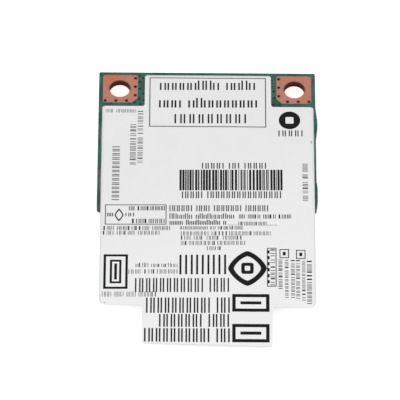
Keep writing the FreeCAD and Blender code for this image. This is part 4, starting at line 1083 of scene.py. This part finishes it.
def strip(paths, width):
    """Plan grids of strips along paths of points, mitred at their bends."""
    paths = np.array(paths, float)
    ahead = np.diff(paths, axis=1)
    ahead /= np.maximum(np.linalg.norm(ahead, axis=-1, keepdims=True), NEARLY)
    first, last = ahead[:, :1], ahead[:, -1:]
    before = np.concatenate([first, ahead], 1)
    after = np.concatenate([ahead, last], 1)
    middle = before + after
    middle /= np.linalg.norm(middle, axis=-1, keepdims=True)
    stretch = 1 / np.maximum((middle * after).sum(-1, keepdims=True), 0.5)
    side = np.stack([-middle[..., 1], middle[..., 0]], -1) * stretch * width / 2
    return np.stack([paths - side, paths + side], 2)


# Steps that the panel lists

def dress(finish, *nodes):
    """Give a finish to the solids of some nodes."""
    for node in nodes:
        for slot in NODES[node].material_slots:
            slot.material = finish


def numbers(start, end, pitch):
    """Even places from a start up to an end."""
    return np.arange(start, end + NEARLY, pitch)


class MakeStage(bpy.types.Operator):
    """Camera, floor and light"""
    bl_idname = "card.stage"
    bl_label = "Stage"

    def execute(self, context):
        scene = context.scene
        self.camera(scene, scene.card_stage)
        self.floor(scene, scene.card_stage)
        self.light(scene, scene.card_stage)
        return {"FINISHED"}

    def camera(self, scene, settings):
        """Camera that looks down at its target, turned to the right and leaning."""
        data = bpy.data.cameras.new("camera")
        data.lens = settings.lens
        data.sensor_width = CAMERA_SENSOR
        data.clip_start = CLIP_START
        camera = bpy.data.objects.new("camera", data)
        target = Matrix.Translation((settings.target_x * MM, settings.target_y * MM, 0))
        turn = (Matrix.Rotation(-settings.yaw, 4, "Z")
                @ Matrix.Rotation(math.pi / 2 - settings.pitch, 4, "X")
                @ Matrix.Rotation(settings.roll, 4, "Z"))
        camera.matrix_world = target @ turn @ Matrix.Translation((0, 0, settings.distance * MM))
        scene.collection.objects.link(camera)
        scene.camera = camera
        scene.view_settings.view_transform = "Standard"

    def floor(self, scene, settings):
        """Square floor that glows only where a camera, a gloss or a glass ray meets it."""
        half = settings.floor_size / 2
        points = np.array([(x, y, FLOOR_HEIGHT) for x, y in (
            (-half, -half), (half, -half), (half, half), (-half, half))])
        mesh = bpy.data.meshes.new("floor")
        mesh.from_pydata((points * MM).tolist(), [], [(0, 1, 2, 3)])
        finish = Finish("floor")
        camera, gloss, glass = (finish.node("ShaderNodeLightPath", output=name) for name in (
            "Is Camera Ray", "Is Glossy Ray", "Is Transmission Ray"))
        seen = finish.level(camera + gloss + glass, 0.0, 1.0)
        cloud = finish.patches(0.3, 0.7, pitch=90, detail=2.0)
        white = linear(settings.floor_white)
        mesh.materials.append(finish.close(
            Base_Color=finish.blend(cloud, white, shade(white, 0.985)), Roughness=0.9,
            Specular_IOR_Level=0.1, Emission_Strength=1.0,
            Emission_Color=finish.blend(seen, (0, 0, 0), (FLOOR_GLOW,) * 3)))
        floor = bpy.data.objects.new("floor", mesh)
        scene.collection.objects.link(floor)

    def light(self, scene, settings):
        """Even light from all around, and two large lamps that face the part."""
        world = bpy.data.worlds.new("room")
        world.use_nodes = True
        sky = world.node_tree.nodes["Background"]
        sky.inputs["Color"].default_value = (1, 1, 1, 1)
        sky.inputs["Strength"].default_value = settings.world_strength
        scene.world = world
        for name, side, place in LAMPS:
            data = bpy.data.lights.new(name, "AREA")
            data.energy = getattr(settings, name + "_energy")
            data.size = side
            lamp = bpy.data.objects.new(name, data)
            lamp.location = place
            lamp.rotation_euler = Vector(place).to_track_quat("Z", "Y").to_euler()
            scene.collection.objects.link(lamp)


class MakeLabel(bpy.types.Operator):
    """Paper label that overhangs the connector and droops"""
    bl_idname = "card.label"
    bl_label = "Label"

    def execute(self, context):
        plan = LabelPlan(context.scene.card_paper)
        points, faces = label_sheet(plan)
        points = np.column_stack([points, plan.height(points[:, 0], points[:, 1])])
        paper = paper_finish("label_paper", plan.settings)
        sheet = put_piece("label_sheet", points, faces, paper, "label", closed=False)
        walls = sheet.modifiers.new("paper thickness", "SOLIDIFY")
        walls.thickness = LABEL_THICK * MM
        walls.offset = -1
        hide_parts("label")
        return {"FINISHED"}


class PrintNotice(bpy.types.Operator):
    """Framed notice at the far end, side rows, round mark and bars"""
    bl_idname = "card.print_notice"
    bl_label = "Notice print"

    def execute(self, context):
        press = Press(context, 0)
        ink = ink_finish("label_ink", press.settings)
        grey = ink_finish("label_grey_ink", press.settings, GREY_INK)
        press.rows(NOTICE_ROWS)
        press.piece("notice_print", ink)
        press.boxes(frame_boxes(NOTICE_FRAME, FRAME_STROKE), split=(16, 16), slant=False)
        press.piece("notice_frame_print", grey)
        press.rows(DARK_SIDE_ROWS, slant=False)
        press.rows([ROUND_MARK_ROW])
        press.piece("side_row_print", ink)
        press.rows(LIGHT_SIDE_ROWS, slant=False)
        press.piece("light_side_row_print", grey)
        press.band(ROUND_MARK, *ROUND_BAND)
        press.piece("round_mark_print", ink)
        press.boxes(bar_boxes(BARCODE, press.draw), split=(1, 4))
        press.rows(BARCODE_ROWS)
        press.piece("bar_print", ink)
        return {"FINISHED"}


class PrintSmallRows(bpy.types.Operator):
    """Small rows and the boxed mark along the middle"""
    bl_idname = "card.print_small"
    bl_label = "Small print"

    def execute(self, context):
        press = Press(context, 1)
        ink = ink_finish("small_row_ink", press.settings, SMALL_INK)
        press.rows(SMALL_ROWS)
        for left, right, y, count in LEADERS:
            press.boxes([(x - LEADER_DOT / 2, x + LEADER_DOT / 2, y, y + LEADER_DOT)
                         for x in np.linspace(left, right, count)])
        press.piece("small_row_print", ink)
        press.boxes(frame_boxes(BOXED_MARK, THIN_FRAME_STROKE), split=(10, 6))
        press.rows(BOXED_ROWS)
        press.band(BOXED_DIAMOND, *BOXED_BAND)
        press.piece("boxed_mark_print", ink)
        return {"FINISHED"}


class PrintFlap(bpy.types.Operator):
    """Large rows, plain marks and columns on the drooping end"""
    bl_idname = "card.print_flap"
    bl_label = "Flap print"

    def execute(self, context):
        press = Press(context, 2)
        ink = ink_finish("flap_ink", press.settings)
        grey = ink_finish("flap_grey_ink", press.settings, SMALL_INK)
        press.rows(FLAP_ROWS, split=(1, 2))
        press.piece("flap_row_print", ink)
        press.boxes(frame_boxes(NESTED_MARK, NESTED_STROKES[0]), split=(8, 10))
        middle_frame = inset(NESTED_MARK, NESTED_INSETS[0])
        press.boxes(frame_boxes(middle_frame, NESTED_STROKES[1]), split=(4, 8))
        press.boxes([inset(NESTED_MARK, NESTED_INSETS[1])], split=(2, 6))
        for band in DIAMOND_BANDS:
            press.band(THICK_DIAMOND, *band)
        for box in WIDE_MARKS:
            press.boxes(frame_boxes(box, WIDE_STROKE), split=(8, 4))
            press.boxes([inset(box, WIDE_INSET)], split=(6, 2))
        press.piece("plain_mark_print", ink)
        press.rows(COLUMNS + [SIDE_FRAME_ROW])
        press.boxes(frame_boxes(SIDE_FRAME, THIN_FRAME_STROKE), split=(4, 12))
        left, right, near, far = SIDE_FRAME
        press.boxes([(left + DASH_SIDES[0], left + DASH_SIDES[1], y, y + DASH_LENGTH)
                     for y in np.linspace(near + DASH_ENDS[0], far - DASH_ENDS[1], DASH_COUNT)])
        for box in TINY_FRAMES:
            press.boxes(frame_boxes(box, FRAME_STROKE), split=(2, 2))
            press.boxes([inset(box, TINY_INSET)])
        press.piece("column_print", grey)
        return {"FINISHED"}


class DressBoard(bpy.types.Operator):
    """Solder mask, copper, gold contacts, small vias and tracks"""
    bl_idname = "card.board"
    bl_label = "Board"

    def execute(self, context):
        settings = context.scene.card_board
        mask = mask_finish("solder_mask", settings)
        covered = mask_finish("solder_mask_over_copper", settings, True, TRACK_TONE)
        plain_gold = gold_finish("unworn_gold_plating", settings, scratches=1)
        dress(mask, "circuit_board")
        dress(copper_finish("bare_copper", settings), "mounting_pad_left", "mounting_pad_right")
        dress(gold_finish("gold_plating", settings), "edge_contacts_label_side",
              "edge_contacts_component_side")
        self.vias(mask_finish("dark_via_plugs", settings, darkness=PLUG_TONE), covered)
        self.tracks(covered)
        put_piece("board_edge_swell", *edge_swell(*EDGE_SWELL), mask, "board", smooth=False)
        lid = (LID_LOW[0], LID_HIGH[0], LID_LOW[1], LID_HIGH[1])
        land = box_grid(frame_boxes(inset(lid, -LAND_MARGIN), LAND_WIDTH), (1, 1))
        put_flat("shield_land", [slabs(land, component_side, SEAT, LAND_RISE)], plain_gold, "gold")
        for name, places, radius, sides in (
                ("alignment_spots", ALIGNMENT_SPOTS, SPOT_RADIUS, SPOT_SIDES),
                ("test_pads", TEST_PADS, TEST_PAD_RADIUS, TEST_PAD_SIDES)):
            spots = turned_solids(on_component_side(places), spot_profile(radius), sides)
            put_piece(name, *spots, plain_gold, "gold", smooth=False)
        return {"FINISHED"}

    def vias(self, plug, covered):
        """Plugged vias that show beside the label, and covered ones of the component side."""
        dome = np.array(VIA_DOME) * [1, VIA_RISE]
        via = np.concatenate([[[0, -SEAT], [1, -SEAT]], dome]) * [VIA_RADIUS, 1]
        shown = np.column_stack([LABEL_SIDE_VIAS, np.zeros(len(LABEL_SIDE_VIAS))])
        put_piece("label_side_vias", *turned_solids(shown, via, ROUND_SIDES), plug, "board")
        places = [(x, y) for x in (-SIDE_VIA_PLACE, SIDE_VIA_PLACE) for y in numbers(*SIDE_VIA_LINE)]
        places += [(x + step, y) for x in (-SOCKET_PLACE, SOCKET_PLACE)
                   for step in (-FEED_VIA_STEP, FEED_VIA_STEP) for y in FEED_VIA_LINES]
        places += [(x, MIDDLE_VIA_PLACE) for x in numbers(*MIDDLE_VIA_LINE)]
        tented = turned_solids(on_component_side(places), via * [1, -1], ROUND_SIDES)
        put_piece("component_side_vias", *tented, covered, "board")

    def tracks(self, finish):
        """Mask-covered tracks from the contacts of the component side to the shield."""
        contacts = islands("edge_contacts_component_side")
        middle, start = contacts[:, :, 0].mean(1), contacts[:, 1, 1]
        turned = middle + np.where(middle > 0, TRACK_TURN, -TRACK_TURN)
        bend = start + TRACK_STRAIGHT
        paths = np.stack([
            [middle, middle, turned, turned],
            [start - TRACK_START, bend, bend + TRACK_TURN, 0 * start + LID_LOW[1] - TRACK_END]], -1)
        feeds = [[(x, y) for y in (*FEED_STOPS, LID_HIGH[1] + TRACK_END)]
                 for x in (-SOCKET_PLACE, SOCKET_PLACE)]
        shapes = [slabs(strip(lines, width), component_side, SEAT, TRACK_RISE)
                  for lines, width in ((paths.transpose(1, 0, 2), TRACK_WIDTH), (feeds, FEED_WIDTH))]
        put_flat("component_side_tracks", shapes, finish, "board")


class PrintBoard(bpy.types.Operator):
    """White outlines and ticks of the component side"""
    bl_idname = "card.board_print"
    bl_label = "Board print"

    def execute(self, context):
        white = ceramic_finish("board_print_white", (0.86, 0.87, 0.84), 0.5, 0.1)
        reach, gap, near, far = SOCKET_OUTLINE
        half = OUTLINE_STROKE / 2
        boxes = []
        for x in (-SOCKET_PLACE, SOCKET_PLACE):
            boxes += [(edge - half, edge + half, near, far) for edge in (x - reach, x + reach)]
            boxes += [(left, right, near - OUTLINE_STROKE, near)
                      for left, right in ((x - reach, x - gap), (x + gap, x + reach))]
        boxes += frame_boxes(MIDDLE_OUTLINE, OUTLINE_STROKE)
        left, right, near, far = TICK
        boxes += [(x + left, x + right, near, far) for x in TICK_PLACES] + CORNER_BLOCKS
        lines = slabs(box_grid(boxes, (1, 1)), component_side, SEAT, PRINT_RISE)
        put_flat("board_outlines", [lines], white, "board")
        return {"FINISHED"}


class MakeSolder(bpy.types.Operator):
    """Solder at the ends of the small parts, at the sockets and round the shield"""
    bl_idname = "card.solder"
    bl_label = "Solder"

    def execute(self, context):
        solder = solder_finish("solder", context.scene.card_board)
        dress(solder, "capacitor_terminals", "resistor_terminals", "radio_chip_pads",
              "front_end_pads_left", "front_end_pads_right", "memory_chip_pads")
        for part in ("capacitor", "resistor"):
            put_piece(part + "_solder", *self.ends(part), solder, "solder")
        for name, node, wedge in (
                ("shield_solder", "shield_frame", SHIELD_WEDGE),
                ("socket_solder_left", "antenna_socket_ring_left", SOCKET_WEDGE),
                ("socket_solder_right", "antenna_socket_ring_right", SOCKET_WEDGE)):
            put_piece(name, *bead(node, *wedge), solder, "solder")
        return {"FINISHED"}

    def ends(self, part):
        """Wedges at the terminals of a kind of part, on the side away from its body."""
        bodies = islands(part + "_bodies").mean(1)
        ends = islands(part + "_terminals")
        middle = ends.mean(1)
        nearest = np.linalg.norm(middle[:, None, :2] - bodies[None, :, :2], axis=-1).argmin(1)
        away = (middle - bodies[nearest])[:, :2]
        along_x = np.abs(away[:, 0]) > np.abs(away[:, 1])
        outward = np.where(along_x[:, None], [1, 0], [0, 1]) * np.sign(away)
        half = (ends[:, 1] - ends[:, 0])[:, :2] / 2
        feet = middle[:, :2] + outward * (half - SEAT)
        return fillets(feet, outward, *PART_WEDGE, np.where(along_x, half[:, 1], half[:, 0]) * 2)


class DressShield(bpy.types.Operator):
    """Folded lid and frame of tinned sheet"""
    bl_idname = "card.shield"
    bl_label = "Shield"

    def execute(self, context):
        tinned = sheet_metal_finish("tinned_sheet", context.scene.card_board)
        dress(tinned, "shield_lid", "shield_frame", "crystal_cap")
        return {"FINISHED"}


class DressParts(bpy.types.Operator):
    """Sockets, chips and other parts"""
    bl_idname = "card.parts"
    bl_label = "Parts"

    def execute(self, context):
        settings = context.scene.card_board
        dress(gold_finish("socket_gold", settings, scratches=1), "antenna_socket_ring_left",
              "antenna_socket_ring_right", "antenna_socket_pin_left", "antenna_socket_pin_right")
        dress(ceramic_finish("socket_resin", (0.88, 0.86, 0.79), 0.42, 0.1),
              "antenna_socket_base_left", "antenna_socket_base_right")
        dress(moulding_finish("black_moulding", settings), "radio_chip", "front_end_module_left",
              "front_end_module_right", "memory_chip", "regulator_chip")
        dress(ceramic_finish("filter_ceramic", (0.88, 0.88, 0.86), 0.5),
              "antenna_filter_left", "antenna_filter_right")
        dress(ceramic_finish("capacitor_ceramic", (0.62, 0.49, 0.36), 0.42), "capacitor_bodies")
        dress(ceramic_finish("resistor_glaze", (0.09, 0.09, 0.1), 0.3), "resistor_bodies")
        dress(ceramic_finish("crystal_ceramic", (0.2, 0.18, 0.19), 0.55), "crystal_base")
        dress(ceramic_finish("ferrite", (0.26, 0.26, 0.27), 0.6, 0.3), "power_inductor")
        return {"FINISHED"}


class CardPanel(bpy.types.Panel):
    """Steps and settings of the wireless card"""
    bl_idname = "VIEW3D_PT_wireless_card"
    bl_label = "Wireless card"
    bl_space_type = "VIEW_3D"
    bl_region_type = "UI"
    bl_category = "Wireless card"

    def draw(self, context):
        for step in STEPS:
            self.layout.operator(step.bl_idname)
        for group in ("card_stage", "card_paper", "card_board"):
            settings = getattr(context.scene, group)
            box = self.layout.box()
            for name in settings.__annotations__:
                box.prop(settings, name)


STEPS = (MakeStage, MakeLabel, PrintNotice, PrintSmallRows, PrintFlap, DressBoard, PrintBoard,
         MakeSolder, DressShield, DressParts)
CLASSES = (StageSettings, PaperSettings, BoardSettings) + STEPS + (CardPanel,)


def register():
    for each in CLASSES:
        bpy.utils.register_class(each)
    bpy.types.Scene.card_stage = bpy.props.PointerProperty(type=StageSettings)
    bpy.types.Scene.card_paper = bpy.props.PointerProperty(type=PaperSettings)
    bpy.types.Scene.card_board = bpy.props.PointerProperty(type=BoardSettings)


def unregister():
    del bpy.types.Scene.card_stage
    del bpy.types.Scene.card_paper
    del bpy.types.Scene.card_board
    for each in reversed(CLASSES):
        bpy.utils.unregister_class(each)


def main():
    register()
    bpy.ops.card.stage()
    bpy.ops.card.label()
    bpy.ops.card.print_notice()
    bpy.ops.card.print_small()
    bpy.ops.card.print_flap()
    bpy.ops.card.board()
    bpy.ops.card.board_print()
    bpy.ops.card.solder()
    bpy.ops.card.shield()
    bpy.ops.card.parts()


if __name__ == "__main__":
    main()
